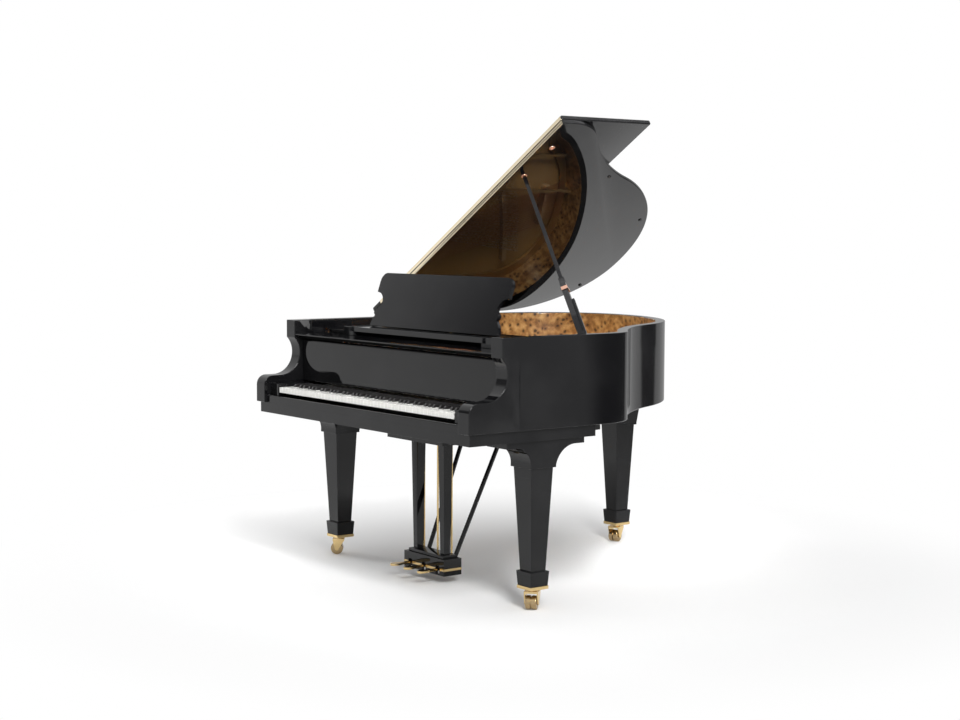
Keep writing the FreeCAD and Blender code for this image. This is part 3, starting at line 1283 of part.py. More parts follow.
def fork(tag):
    """A plate with a bearing ring and a stem above, and two side walls that hold the axle."""
    side = body(tag + "_fork_side")
    shape = sketch(side, tag + "_fork_shape", "YZ_Plane", WHEEL_HALF + " + wheel_side_gap")
    outline(shape, [("fork_trail - fork_boss", "wheel_radius", "fork_boss"), ("fork_trail + fork_boss", "wheel_radius"),
                    ("fork_front", FORK_LOW), ("-fork_back", FORK_LOW)])
    pad(side, shape, "fork_wall")
    half = "(%s + wheel_side_gap + fork_wall)" % WHEEL_HALF
    plate = box(tag + "_fork_plate", "-" + half, "-fork_back", FORK_LOW, "2 * " + half, "fork_back + fork_front",
                "fork_plate")
    ring = rod(tag + "_fork_ring", "0", "0", FORK_TOP, "2 * stem_radius",
               "cuff_bottom - band_height - ring_gap - (%s)" % FORK_TOP)
    stem = rod(tag + "_fork_stem", "0", "0", FORK_TOP, "stem_radius",
               "cuff_bottom + stem_length - 2 - (%s)" % FORK_TOP)
    axle = rod(tag + "_fork_axle", "-" + half, "fork_trail", "wheel_radius", "axle_radius", "2 * " + half, (1, 0, 0))
    return fuse("caster_fork_" + tag, side, mirror(tag + "_fork_side_other", side), plate, ring, stem, axle)


def rollers(tag):
    """Two rollers with rounded rims and a groove between them, turned about the axle."""
    wheel = body("caster_wheels_" + tag)
    shape = sketch(wheel, tag + "_roller_shape", "XZ_Plane", "-fork_trail")
    out, groove = WHEEL_HALF, "roller_groove / 2"
    top, bore = "wheel_radius", "axle_radius + axle_fit"
    outline(shape, [("-(%s)" % out, bore), (out, bore), (out, top + " - roller_round", "roller_round"),
                    (out + " - roller_round", top), (groove, top), (groove, top + " - roller_groove"),
                    ("-" + groove, top + " - roller_groove"), ("-" + groove, top),
                    ("roller_round - (%s)" % out, top, "roller_round"), ("-(%s)" % out, top + " - roller_round")])
    bind(shape, "AttachmentOffset.Base.y", "wheel_radius")
    turn = wheel.newObject("PartDesign::Revolution", tag + "_roller_turn")
    turn.Profile = shape
    turn.ReferenceAxis = (shape, ["H_Axis"])
    turn.Angle = 360
    return wheel


for tag, across, depth, turn in LEGS:
    node("caster_fork_" + tag, on_leg(fork(tag), across, depth, turn))
    node("caster_wheels_" + tag, on_leg(rollers(tag), across, depth, turn))

# Pedal lyre: a head under the keybed and two tapering posts, with bores for the rods.
head = box("lyre_head", "-lyre_head_half", "lyre_head_front", "lyre_head_bottom", "2 * lyre_head_half",
           "lyre_head_end - lyre_head_front", "keybed_bottom - lyre_head_bottom")
POST_FOOT = "box_top + step_height"
lyre_post = taper("treble_post", "post_across", "post_depth", POST_FOOT, "post_foot_width", "post_foot_depth",
                  "post_top_width", "post_top_depth", "lyre_head_bottom - (%s)" % POST_FOOT)
lyre = fuse("lyre_solid", head, lyre_post, mirror("bass_post", lyre_post))
node("lyre_frame", cut("lyre_frame", lyre, *rod_bores("lyre", "lyre_head_bottom", "keybed_bottom - lyre_head_bottom")))

# Pedal box: open underneath, with a slot in its front for each pedal and a rod across for their pivots.
shell = box("box_shell", "-box_half", "box_front", "box_bottom", "2 * box_half", "box_end - box_front",
            "box_top - box_bottom")
step = box("box_step", "step_inset - box_half", "box_front + step_depth_inset", "box_top", "2 * (box_half - step_inset)",
           "box_end - box_front - 2 * step_depth_inset", "step_height")
room = box("box_room", "box_wall - box_half", "box_front + box_wall", "box_bottom", "2 * (box_half - box_wall)",
           "box_end - box_front - 2 * box_wall", "box_top - box_bottom - box_wall")
SLOT = "pedal_stem_width + 2 * pedal_slot_gap"
slots = [box("pedal_slot_" + side, "%s - (%s) / 2" % (across, SLOT), "box_front", "pedal_bottom - pedal_slot_drop", SLOT,
             "box_wall", "pedal_thickness + pedal_slot_drop + 10") for side, across in RODS]
hollowed = cut("box_hollowed", fuse("box_block", shell, step), room, *slots)
bored = cut("box_bored", hollowed, *rod_bores("box", "box_top - box_wall", "box_wall + step_height"))
PEDAL_AXIS = "pedal_bottom + pedal_thickness / 2"
pivot = rod("pedal_pivot_rod", "box_wall - box_half", "pedal_pivot", PEDAL_AXIS, "pedal_pin_radius",
            "2 * (box_half - box_wall)", (1, 0, 0))
node("pedal_box", fuse("pedal_box", bored, pivot))


def pedal(side, across):
    """A brass lever: a narrow stem that widens into a round-ended paddle, with a boss at its pivot."""
    lever = body("pedal_lever_" + side)
    plan = sketch(lever, "pedal_plan_" + side, "XY_Plane", "pedal_bottom")
    stem, wide = "pedal_stem_width / 2", "pedal_paddle_width / 2"
    tip, neck = "pedal_tip + " + wide, "pedal_tip + pedal_paddle_length"

    def at(offset, sign="+"):
        return "%s %s %s" % (across, sign, offset)

    outline(plan, [(at(wide, "-"), tip, wide), (at(wide), tip), (at(wide), neck + " - 26"), (at(stem), neck),
                   (at(stem), "pedal_end"), (at(stem, "-"), "pedal_end"), (at(stem, "-"), neck),
                   (at(wide, "-"), neck + " - 26")])
    pad(lever, plan, "pedal_thickness")
    boss = rod("pedal_boss_" + side, at(stem, "-"), "pedal_pivot", PEDAL_AXIS, "pedal_pin_radius + pedal_boss_wall",
               "pedal_stem_width", (1, 0, 0))
    eye = rod("pedal_eye_" + side, at(stem, "-"), "pedal_pivot", PEDAL_AXIS, "pedal_pin_radius + pedal_pin_fit",
              "pedal_stem_width", (1, 0, 0))
    return cut("pedal_" + side, fuse("pedal_solid_" + side, lever, boss), eye)


for side, across in RODS:
    node("pedal_" + side, pedal(side, across))
    start = "pedal_bottom + pedal_thickness + rod_gap"
    node("pedal_rod_" + side, rod("pedal_rod_" + side, across, "rod_depth", start, "rod_radius", "rod_top - (%s)" % start))


def brace():
    """A round stay from the back of the pedal box to the belly rail, cut to the faces it meets."""
    back, high = size("box_end"), size("belly_bottom")
    foot = FreeCAD.Vector(size("brace_foot_across"), back, size("brace_foot_height"))
    head = FreeCAD.Vector(size("brace_head_across"), size("brace_head_depth"), high)
    run = (head - foot).normalize()
    stay = Part.makeCylinder(size("brace_radius"), (head - foot).Length + 60, foot - run * 30, run)
    return stay.common(Part.makeBox(600, 1200, high, FreeCAD.Vector(0, back, 0)))


stay = brace()
twin = stay.mirror(FreeCAD.Vector(0, 0, 0), FreeCAD.Vector(1, 0, 0))
node("lyre_braces", solids("lyre_braces", stay.Solids + twin.Solids))

doc.recompute()
for thing in doc.Objects:
    if "Invalid" in thing.State or "Error" in thing.State:
        raise RuntimeError("not built: %s %s" % (thing.Name, thing.State))
os.makedirs("parts", exist_ok=True)
for thing in nodes:
    if thing.Shape.isNull() or not thing.Shape.isValid():
        raise RuntimeError("bad shape: " + thing.Label)
    thing.Shape.exportStep("parts/%s.step" % thing.Label)
    box_ = thing.Shape.optimalBoundingBox()
    print(thing.Label, len(thing.Shape.Solids), round(thing.Shape.Volume), [round(v, 1) for v in (box_.XMin, box_.XMax, box_.YMin, box_.YMax, box_.ZMin, box_.ZMax)])
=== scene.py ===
import json
import math

import bmesh
import bpy
import numpy as np
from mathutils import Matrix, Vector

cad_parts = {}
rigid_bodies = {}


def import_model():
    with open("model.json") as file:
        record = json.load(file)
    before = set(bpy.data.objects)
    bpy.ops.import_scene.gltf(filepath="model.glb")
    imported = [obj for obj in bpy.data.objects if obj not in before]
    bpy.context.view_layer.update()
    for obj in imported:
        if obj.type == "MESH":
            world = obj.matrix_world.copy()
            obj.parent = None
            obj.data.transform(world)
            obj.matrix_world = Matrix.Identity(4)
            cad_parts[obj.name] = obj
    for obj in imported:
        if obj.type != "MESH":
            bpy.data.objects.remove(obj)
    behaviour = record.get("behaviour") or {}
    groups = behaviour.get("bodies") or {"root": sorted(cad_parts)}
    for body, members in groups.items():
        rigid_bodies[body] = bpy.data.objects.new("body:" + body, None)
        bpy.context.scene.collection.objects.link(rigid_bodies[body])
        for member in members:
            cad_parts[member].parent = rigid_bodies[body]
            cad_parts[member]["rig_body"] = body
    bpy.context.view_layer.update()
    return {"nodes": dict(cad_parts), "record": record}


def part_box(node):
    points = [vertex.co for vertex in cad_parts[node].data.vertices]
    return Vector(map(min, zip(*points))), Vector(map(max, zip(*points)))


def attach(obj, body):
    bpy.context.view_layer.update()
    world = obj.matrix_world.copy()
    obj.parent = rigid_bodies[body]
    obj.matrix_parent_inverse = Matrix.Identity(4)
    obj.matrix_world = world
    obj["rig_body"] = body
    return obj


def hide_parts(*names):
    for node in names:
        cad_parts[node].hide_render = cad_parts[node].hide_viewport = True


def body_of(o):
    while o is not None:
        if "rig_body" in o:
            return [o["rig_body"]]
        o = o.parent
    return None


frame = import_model()


# Studio: a pale matt floor that runs out into white, a soft lamp on the player's left, a broad one overhead
# and two that shine in under the lid. The camera stands at the treble side, at eye height.
class Tone:
    """One output of a shader node. Arithmetic on it, with another or with a number, adds Math nodes."""

    def __init__(self, tree, out):
        self.tree, self.out = tree, out

    def feed(self, made, sockets):
        """Gives a node's inputs, by name or number, a plain value or a link from a Tone."""
        for key, value in sockets.items():
            if isinstance(value, Tone):
                self.tree.links.new(value.out, made.inputs[key])
            else:
                made.inputs[key].default_value = value

    def node(self, kind, settings, sockets, out=0):
        """Adds a node of a kind: its settings first, a ramp's stops among them, and then its inputs."""
        made = self.tree.nodes.new(kind)
        for key, value in settings.items():
            if key == "stops":
                ramp = made.color_ramp.elements
                while len(ramp) < len(value):
                    ramp.new(0.5)
                for element, (at, colour) in zip(ramp, value):
                    element.position, element.color = at, (*colour, 1)
            else:
                setattr(made, key, value)
        self.feed(made, sockets)
        return Tone(self.tree, made.outputs[out])

    def sums(self, operation, first, second):
        """One Math node on two values."""
        return self.node("ShaderNodeMath", {"operation": operation}, {0: first, 1: second})

    def __add__(self, other):
        return self.sums("ADD", self, other)

    __radd__ = __add__

    def __sub__(self, other):
        return self.sums("SUBTRACT", self, other)

    def __rsub__(self, other):
        return self.sums("SUBTRACT", other, self)

    def __mul__(self, other):
        return self.sums("MULTIPLY", self, other)

    __rmul__ = __mul__

    def most(self, other):
        return self.sums("MAXIMUM", self, other)

    def rise(self, low, high):
        """0 below low, 1 above high and a smooth step between; with low above high it falls instead."""
        return self.node("ShaderNodeMapRange", {"interpolation_type": "SMOOTHSTEP"},
                         {"Value": self, "From Min": low, "From Max": high})

    def between(self, first, second):
        """The colour that lies this far from the first to the second."""
        return self.node("ShaderNodeMix", {"data_type": "RGBA"}, {0: self, 6: first, 7: second}, 2)

    def noise(self, scale, detail):
        """Cloudy noise from 0 to 1 at this place: scale in cycles to the metre, detail in finer layers."""
        return self.node("ShaderNodeTexNoise", {}, {"Vector": self, "Scale": scale, "Detail": detail}, "Fac")

    def stretched(self, *scale):
        """This place with each axis drawn out by its own scale."""
        return self.node("ShaderNodeMapping", {}, {"Vector": self, "Scale": scale})

    def bump(self, strength, distance):
        """The normal of a surface that this height, times the distance in metres, makes uneven."""
        return self.node("ShaderNodeBump", {}, {"Strength": strength, "Distance": distance, "Height": self})


def grid_mesh(name, points, quads, caps):
    """A mesh of smooth four-sided faces and flat caps, with every face turned to point outwards."""
    mesh = bpy.data.meshes.new(name)
    mesh.from_pydata(points.reshape(-1, 3), [], quads.tolist() + [list(cap) for cap in caps])
    mesh.polygons.foreach_set("use_smooth", np.arange(len(mesh.polygons)) < len(quads))
    work = bmesh.new()
    work.from_mesh(mesh)
    bmesh.ops.recalc_face_normals(work, faces=work.faces)
    work.to_mesh(mesh)
    work.free()
    mesh.set_sharp_from_angle(angle=math.radians(38))
    return mesh


def lattice(rows, columns):
    """The faces of a grid of rows by columns: each takes four neighbours, and the last column joins the
    first."""
    index = np.arange(rows * columns).reshape(rows, columns)
    index = np.concatenate([index, index[:, :1]], 1)
    return np.stack([index[:-1, :-1], index[:-1, 1:], index[1:, 1:], index[1:, :-1]], -1).reshape(-1, 4)


def bearing_of(direction):
    """A direction's angle in plan, in radians: 0 towards the treble and a quarter turn towards the tail."""
    x, y = (direction.node("ShaderNodeSeparateXYZ", {}, {"Vector": direction}, axis) for axis in "XY")
    return direction.sums("ARCTAN2", y, x)


# The soft edges of a black screen, as bearings, and how dark the corner before it, the screen and the wall
# past it are.
SCREEN_START, SCREEN_END = (0.715, 0.745), (1.72, 1.80)
CORNER_GREY, SCREEN_BLACK, WALL_GREY = 0.35, 0.92, 0.55


def dimness(direction):
    """How far from white the studio stands in a direction, as the lacquer mirrors it: a black screen behind
    the treble side, between two bearings, with a grey corner before it and a grey wall past it."""
    bearing = bearing_of(direction)
    corner = bearing.rise(0.10, 0.50) * bearing.rise(*SCREEN_START[::-1])
    screen = bearing.rise(*SCREEN_START) * bearing.rise(*SCREEN_END[::-1])
    wall = bearing.rise(*SCREEN_END) * bearing.rise(3.00, 2.50)
    return corner * CORNER_GREY + screen * SCREEN_BLACK + wall * WALL_GREY


def looks(tree):
    """Two marks of 0 or 1 for a ray: whether the camera sees by it, straight or by way of a mirror or glass,
    and whether a mirror does."""
    rays = tree.nodes.new("ShaderNodeLightPath")
    kinds = ("Is Camera Ray", "Is Glossy Ray", "Is Transmission Ray")
    camera, mirror, glass = (Tone(tree, rays.outputs[kind]) for kind in kinds)
    return camera.most(mirror).most(glass), mirror


FLOOR_REACH, FLOOR_RINGS, FLOOR_SPOKES, FLOOR_MIDDLE = 14.0, 24, 72, (0.0, 0.8, 0.0)
TREBLE_SIDE = (0.745, 0.6, 0.0)
outwards = np.linspace(0.01, 1, FLOOR_RINGS) ** 2 * FLOOR_REACH
ring, turn = np.meshgrid(outwards, np.linspace(0, 2 * np.pi, FLOOR_SPOKES + 1)[:-1], indexing="ij")
floor_points = np.stack([ring * np.cos(turn), ring * np.sin(turn), 0 * ring], -1) + FLOOR_MIDDLE
floor_faces = lattice(FLOOR_RINGS, FLOOR_SPOKES)[:, ::-1]
floor_mesh = grid_mesh("floor", floor_points, floor_faces, [range(FLOOR_SPOKES)])
floor = bpy.data.objects.new("floor", floor_mesh)
bpy.context.collection.objects.link(floor)

floor_paint = bpy.data.materials.new("floor_paint")
floor_paint.use_nodes = True
paint = floor_paint.node_tree
place = Tone(paint, paint.nodes.new("ShaderNodeTexCoord").outputs["Object"])
seen, mirrored = looks(paint)
away = place.node("ShaderNodeVectorMath", {"operation": "DISTANCE"}, {0: place, 1: FLOOR_MIDDLE}, "Value")
cloud = place.noise(0.7, 3.0)
pale = cloud.between((0.90, 0.90, 0.90, 1), (0.93, 0.93, 0.93, 1))
matt = place.node("ShaderNodeBsdfDiffuse", {}, {"Color": pale})
outward = place.node("ShaderNodeVectorMath", {"operation": "SUBTRACT"}, {0: place, 1: TREBLE_SIDE})
glow = 1 - mirrored * away.rise(1.5, 7.0) * dimness(outward)
white = place.node("ShaderNodeEmission", {}, {"Color": (1, 1, 1, 1), "Strength": glow})
both = place.node("ShaderNodeMixShader", {}, {0: seen * away.rise(1.0, 2.3), 1: matt, 2: white})
paint.links.new(both.out, paint.nodes["Material Output"].inputs["Surface"])
floor_mesh.materials.append(floor_paint)

sky = bpy.data.worlds.new("studio")
bpy.context.scene.world = sky
sky.use_nodes = True
air = sky.node_tree
seen, mirrored = looks(air)
outlook = Tone(air, air.nodes.new("ShaderNodeTexCoord").outputs["Generated"])
climb = outlook.node("ShaderNodeSeparateXYZ", {}, {"Vector": outlook}, "Z")
facing = bearing_of(outlook)
# A dark flag before the keyboard, off the floor, that the music desk and the arms' curves mirror.
DAYLIGHT, FLAG_BLACK = 0.68, 0.85
flag = facing.rise(-2.66, -2.53) * facing.rise(-1.90, -2.10) * climb.rise(0.06, 0.12) * climb.rise(0.75, 0.60)
dark = mirrored * (climb.rise(0.60, 0.30) * dimness(outlook) + flag * FLAG_BLACK)
brightness = DAYLIGHT + seen * (1 - DAYLIGHT) - dark
seen.feed(air.nodes["Background"], {"Color": (1, 1, 1, 1), "Strength": brightness})


def lamp(name, spot, aim, width, height, power, spread=180, mirrored=True):
    """A rectangular area lamp at a spot, turned to face the aim, its light kept within a spread in degrees;
    one that is not mirrored shows no image of itself in the lacquer."""
    light = bpy.data.lights.new(name, "AREA")
    light.shape, light.size, light.size_y, light.energy = "RECTANGLE", width, height, power
    light.spread = math.radians(spread)
    holder = bpy.data.objects.new(name, light)
    bpy.context.collection.objects.link(holder)
    look = np.subtract(aim, spot)
    holder.location = spot
    holder.visible_glossy = mirrored
    tip, heading = math.acos(-look[2] / np.linalg.norm(look)), math.atan2(look[1], look[0])
    holder.rotation_euler = (tip, 0, heading - math.pi / 2)


lamp("left_softbox", (-4.76, -0.9, 4.3), (0, 0.4, 0.8), 1.6, 1.6, 45, mirrored=False)
lamp("overhead", (0.4, 0.5, 5.4), (0.1, 0.8, 0), 4.5, 4.5, 58)
lamp("case_light", (3.9, -1.0, 3.3), (-0.4, 0.9, 0.92), 1.4, 1.4, 30, 60)
lamp("plate_light", (2.5, -0.3, 3.9), (-0.25, 1.0, 0.88), 1.2, 1.2, 13, 28)

eye = bpy.data.cameras.new("camera")
eye.sensor_width, eye.lens, eye.clip_end = 36.0, 63.22, 60.0
camera = bpy.data.objects.new("camera", eye)
bpy.context.collection.objects.link(camera)
CAMERA_DOWN, CAMERA_ROLL, CAMERA_TURN = 0.0767, -0.004, 0.9213
camera.location = (5.446, -3.5246, 1.3963)
camera.rotation_euler = (math.pi / 2 - CAMERA_DOWN, CAMERA_ROLL, CAMERA_TURN)
bpy.context.scene.camera = camera
bpy.context.scene.view_settings.view_transform = "Standard"

# Rim: one bent wall of laminated wood round the whole case, with an arm at each end that swoops down to
# a rounded toe beside the keys. It is sprayed with black polyester lacquer and polished to a mirror.
HALF, LENGTH = 0.745, 1.672
RIM_LOW, RIM_TOP, RIM_WALL = 0.677, 1.016, 0.038
TAIL_ROUND, FLANK_ROUND, WAIST_ROUND, SHOULDER_ROUND = 0.403, 0.780, 1.000, 0.220
tail_hub = np.array([TAIL_ROUND - HALF, LENGTH - TAIL_ROUND])
flank_hub = np.array([TAIL_ROUND - HALF, LENGTH - FLANK_ROUND])
shoulder_hub = np.array([HALF - SHOULDER_ROUND, 0.650])
span = shoulder_hub - flank_hub
far, near, wide = FLANK_ROUND + WAIST_ROUND, SHOULDER_ROUND + WAIST_ROUND, np.linalg.norm(span)
along = (far ** 2 - near ** 2 + wide ** 2) / (2 * wide)
square = np.array([-span[1], span[0]])
waist_hub = flank_hub + span / wide * along + square / wide * math.sqrt(far ** 2 - along ** 2)


def case_line(inset, front, fine=28, bass=None):
    """The case seen from above, from the bass side round the tail to the treble side, moved inwards by an
    inset, or on the bass side by its own: two straight sides and four arcs that touch, of which the waist's
    bends inwards."""
    bass = inset if bass is None else bass
    flank_turn = math.atan2(*(waist_hub - flank_hub)[::-1])
    shoulder_turn = math.atan2(*(waist_hub - shoulder_hub)[::-1])
    arcs = [(tail_hub + (0, bass - inset), TAIL_ROUND - bass, math.pi, math.pi / 2),
            (flank_hub, FLANK_ROUND - inset, math.pi / 2, flank_turn),
            (waist_hub, WAIST_ROUND + inset, flank_turn + math.pi, shoulder_turn + math.pi),
            (shoulder_hub, SHOULDER_ROUND - inset, shoulder_turn, 0)]
    line = [[(bass - HALF, front)]]
    for order, (hub, radius, start, end) in enumerate(arcs):
        turns = np.linspace(start, end, fine)
        line.append((hub + radius * np.stack([np.cos(turns), np.sin(turns)], 1))[min(order, 1):])
    line.append([(HALF - inset, front)])
    return np.concatenate(line)


def round_the_case(section, front):
    """A section of (inset, height) points carried along the case line, as one ring at every station."""
    lines = [(case_line(inset, front), z) for inset, z in section]
    return np.stack([np.column_stack([line, np.full(len(line), z)]) for line, z in lines], 1)


def rounded(corners, steps=4):
    """A closed outline through corners of (x, y, radius): each is turned by an arc that touches both of its
    sides, with one more point on each side that keeps the straights flat."""
    corner = np.array(corners, float)
    point, radius = corner[:, :2], corner[:, 2:]
    back, on = np.roll(point, 1, 0) - point, np.roll(point, -1, 0) - point
    back, on = (way / np.linalg.norm(way, axis=1, keepdims=True) for way in (back, on))
    half = np.arccos(np.clip((back * on).sum(1, keepdims=True), -1, 1)) / 2
    middle = (back + on) / np.linalg.norm(back + on, axis=1, keepdims=True)
    hub, reach, sweep = point + middle * radius / np.sin(half), radius / np.tan(half), np.pi - 2 * half
    first, last = point + back * reach - hub, point + on * reach - hub
    part = np.linspace(0, 1, steps + 1)[None, :, None]
    arc = np.sin((1 - part) * sweep[:, None]) * first[:, None] + np.sin(part * sweep[:, None]) * last[:, None]
    arc = hub[:, None] + arc / np.sin(sweep)[:, None]
    ease = 0.0003
    before, after = point + back * (reach + ease), point + on * (reach + ease)
    return np.concatenate([before[:, None], arc, after[:, None]], 1).reshape(-1, 2)


def oblong(left, low, right, high, radius, steps=4):
    """A rectangle between two opposite corners, with all four corners rounded alike."""
    corners = [(left, low), (right, low), (right, high), (left, high)]
    return rounded([(x, y, radius) for x, y in corners], steps)


def shrunk(outline, depth):
    """A closed outline moved inwards by a depth, each point along the mean of its two sides' normals."""
    side = np.roll(outline, -1, 0) - outline
    normal = np.stack([-side[:, 1], side[:, 0]], 1) / np.linalg.norm(side, axis=1, keepdims=True)
    area = (outline[:, 0] * np.roll(outline[:, 1], -1) - outline[:, 1] * np.roll(outline[:, 0], -1)).sum()
    before = np.roll(normal, 1, 0)
    push = (normal + before) / np.maximum(1 + (normal * before).sum(1, keepdims=True), 0.3)
    return outline + push * depth * np.sign(area)


def slab(outline, low, high, edge, steps=3):
    """A board over a closed outline, from low to high, with its edges turned over by a quarter circle: rings
    of the outline moved in by edge * (1 - sin t) at a height of edge * (1 - cos t) from each face."""
    t = np.linspace(0, np.pi / 2, steps + 1)
    inset, lift = edge * (1 - np.sin(t)), edge * (1 - np.cos(t))
    inset, level = np.append(inset, 0), np.append(lift, edge * 1.2)
    rings = [(d, low + z) for d, z in zip(inset, level)]
    rings += [(d, high - z) for d, z in zip(inset[::-1], level[::-1])]
    return np.stack([np.column_stack([shrunk(outline, d), np.full(len(outline), z)]) for d, z in rings])


def crosswise(outline, left, right, edge):
    """A board whose outline is drawn in (y, z), running across the piano from left to right."""
    return slab(outline, left, right, edge)[..., [2, 0, 1]]


def shell(rings):
    """A closed skin over rings of points, with a flat cap on the first and on the last."""
    rows, columns = rings.shape[:2]
    index = np.arange(rows * columns).reshape(rows, columns)
    return rings, lattice(rows, columns), [index[0, ::-1], index[-1]]


def piece(name, shells, material, slot, body, *nodes):
    """One object from one or more shells, riding a body and standing for the CAD nodes that it replaces."""
    points, quads, caps, start = [], [], [], 0
    for skin, faces, ends in shells:
        points.append(skin.reshape(-1, 3))
        quads.append(faces + start)
        caps += [np.asarray(end) + start for end in ends]
        start += len(points[-1])
    mesh = grid_mesh(name, np.concatenate(points), np.concatenate(quads), [cap.tolist() for cap in caps])
    mesh.materials.append(material)
    made = bpy.data.objects.new(name, mesh)
    bpy.context.collection.objects.link(made)
    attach(made, body)
    if nodes:
        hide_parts(*nodes)


def finish(name):
    """A new material, its surface shader, and Object coordinates to draw on."""
    material = bpy.data.materials.new(name)
    material.use_nodes = True
    tree = material.node_tree
    place = Tone(tree, tree.nodes.new("ShaderNodeTexCoord").outputs["Object"])
    return material, tree.nodes["Principled BSDF"], place


# The lacquer's faint waviness, as the sprayer leaves it, and a film of dust that dulls it in places.
lacquer, shader, place = finish("black_lacquer")
peel = place.noise(55.0, 1.0)
dust = place.noise(5.0, 6.0).rise(0.42, 0.74)
wave = peel.bump(0.015, 0.0006)
place.feed(shader, {"Base Color": dust.between((0.0035, 0.0035, 0.0040, 1), (0.0075, 0.0075, 0.0080, 1)),
                    "Roughness": 0.02 + dust * 0.035, "IOR": 1.36, "Normal": wave})

ARM_BACK, RIM_EDGE = 0.229, 0.0025
rim_section = oblong(RIM_WALL, RIM_LOW, 0, RIM_TOP, RIM_EDGE)
rim_rings = round_the_case(rim_section, ARM_BACK)
# The arm laps the rim's end by 6 mm, a hair inside its faces; its inner side lies against the key blocks.
HAIR, ARM_INNER, ARM_LAP, OTHER_SIDE = 0.0002, 0.679, 0.235, (-1, 1, 1)
TOE_TOP, SCOOP_BACK, SCOOP_TOP, BROW, BROW_LOW = 0.788, 0.172, 0.9164, 0.147, 0.943
arm_side = rounded([(ARM_LAP, RIM_LOW + HAIR, 0.0030), (0, RIM_LOW + HAIR, 0.0030), (0, TOE_TOP, 0.040),
                    (SCOOP_BACK, TOE_TOP, 0.092), (SCOOP_BACK, SCOOP_TOP, 0.088), (BROW, BROW_LOW, 0.0035),
                    (BROW, RIM_TOP - HAIR, 0.0035), (ARM_LAP, RIM_TOP - HAIR, 0.0030)], 12)
arm = crosswise(arm_side, ARM_INNER, HALF - HAIR, RIM_EDGE)
piece("rim", [shell(rim_rings), shell(arm), shell(arm * OTHER_SIDE)], lacquer, "black_lacquer", "case",
      "outer_rim", "arm_cheeks")

# Lining: a veneer of burl glued inside the rim above the plate, golden brown with knots like small eyes,
# under its own clear lacquer. In front of the strings the same lining is black, like the arms.
burl, shader, place = finish("burl_veneer")
drift = place.node("ShaderNodeTexNoise", {}, {"Vector": place, "Scale": 9.0, "Detail": 3.0}, "Color")
warped = place.node("ShaderNodeVectorMath", {"operation": "MULTIPLY_ADD"},
                    {0: drift, 1: (0.045, 0.045, 0.045), 2: place})
swirl = place.node("ShaderNodeTexNoise", {},
                   {"Vector": warped, "Scale": 26.0, "Detail": 7.0, "Roughness": 0.62}, "Fac")
patch = warped.noise(5.5, 2.0)
knots = place.node("ShaderNodeTexVoronoi", {},
                   {"Vector": warped, "Scale": 40.0, "Randomness": 0.95}, "Distance")
eyes = knots.rise(0.34, 0.16) * patch.rise(0.36, 0.54)
halo = knots.rise(0.60, 0.26) * patch.rise(0.30, 0.56)
browns = [(0.26, (0.095, 0.034, 0.010)), (0.44, (0.29, 0.135, 0.038)), (0.57, (0.47, 0.255, 0.085)),
          (0.76, (0.63, 0.40, 0.155))]
figure = place.node("ShaderNodeValToRGB", {"stops": browns}, {"Fac": swirl})
stained = (halo * 0.55).between(figure, (0.15, 0.056, 0.014, 1))
stained = (eyes * 0.9).between(stained, (0.024, 0.009, 0.004, 1))
place.feed(shader, {"Base Color": stained, "Roughness": 0.32, "Coat Weight": 1.0, "Coat Roughness": 0.04,
                    "Normal": swirl.bump(0.05, 0.0004)})
LINING_FACE, LINING_LOW, LINING_TOP, BURL_FRONT = 0.041, 0.862, 1.014, 0.625
lining_section = rounded([(RIM_WALL, LINING_LOW, 0.0004), (RIM_WALL, LINING_TOP, 0.0006),
                          (LINING_FACE, LINING_TOP, 0.0012), (LINING_FACE, LINING_LOW, 0.0004)], 2)
piece("burl_lining", [shell(round_the_case(lining_section, BURL_FRONT))], burl, "burl", "case", "rim_lining")
lining_inset, lining_level = lining_section.T
front_lining = [np.column_stack([HALF - lining_inset, np.full(len(lining_inset), depth), lining_level])
                for depth in (ARM_BACK, BURL_FRONT)]
front_lining = np.stack(front_lining)
piece("front_lining", [shell(front_lining), shell(front_lining * OTHER_SIDE)], lacquer, "black_lacquer",
      "case")

# Inner rim, belly rail, beams, key frame and keybed: the plain strong woodwork of the case. What is seen only
# from below is brushed with black satin paint that lets the grain show through; the front is lacquered.
satin, shader, place = finish("black_satin_wood")
grain = place.stretched(3.0, 60.0, 60.0)
fibre = grain.noise(3.0, 5.0)
place.feed(shader, {"Base Color": fibre.between((0.006, 0.006, 0.006, 1), (0.016, 0.015, 0.014, 1)),
                    "Roughness": 0.30 + fibre * 0.18, "Normal": fibre.bump(0.12, 0.0005)})


def dress(material, *nodes):
    """Gives CAD nodes that stay as they are their finish."""
    for node in nodes:
        for slot in frame["nodes"][node].material_slots:
            slot.material = material


def softened(node, edge, material, segments=2):
    """A node's own shape with its triangles joined into whole faces and its sharp edges rounded by a bevel."""
    source = frame["nodes"][node]
    mesh = source.data.copy()
    work = bmesh.new()
    work.from_mesh(mesh)
    bmesh.ops.remove_doubles(work, verts=work.verts, dist=2e-6)
    bmesh.ops.dissolve_limit(work, angle_limit=math.radians(0.5), verts=work.verts, edges=work.edges)
    work.to_mesh(mesh)
    work.free()
    mesh.polygons.foreach_set("use_smooth", np.ones(len(mesh.polygons), bool))
    mesh.set_sharp_from_angle(angle=math.radians(32))
    mesh.materials.clear()
    mesh.materials.append(material)
    made = bpy.data.objects.new(node + "_finished", mesh)
    bpy.context.collection.objects.link(made)
    if edge:
        bevel = made.modifiers.new("edge", "BEVEL")
        bevel.width, bevel.segments, bevel.limit_method = edge, segments, "ANGLE"
        bevel.angle_limit, bevel.harden_normals, bevel.use_clamp_overlap = math.radians(34), True, True
    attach(made, body_of(source)[0])
    next(s["material_slot"] for s in frame["record"]["subparts"] if s["node"] == node)
    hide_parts(node)


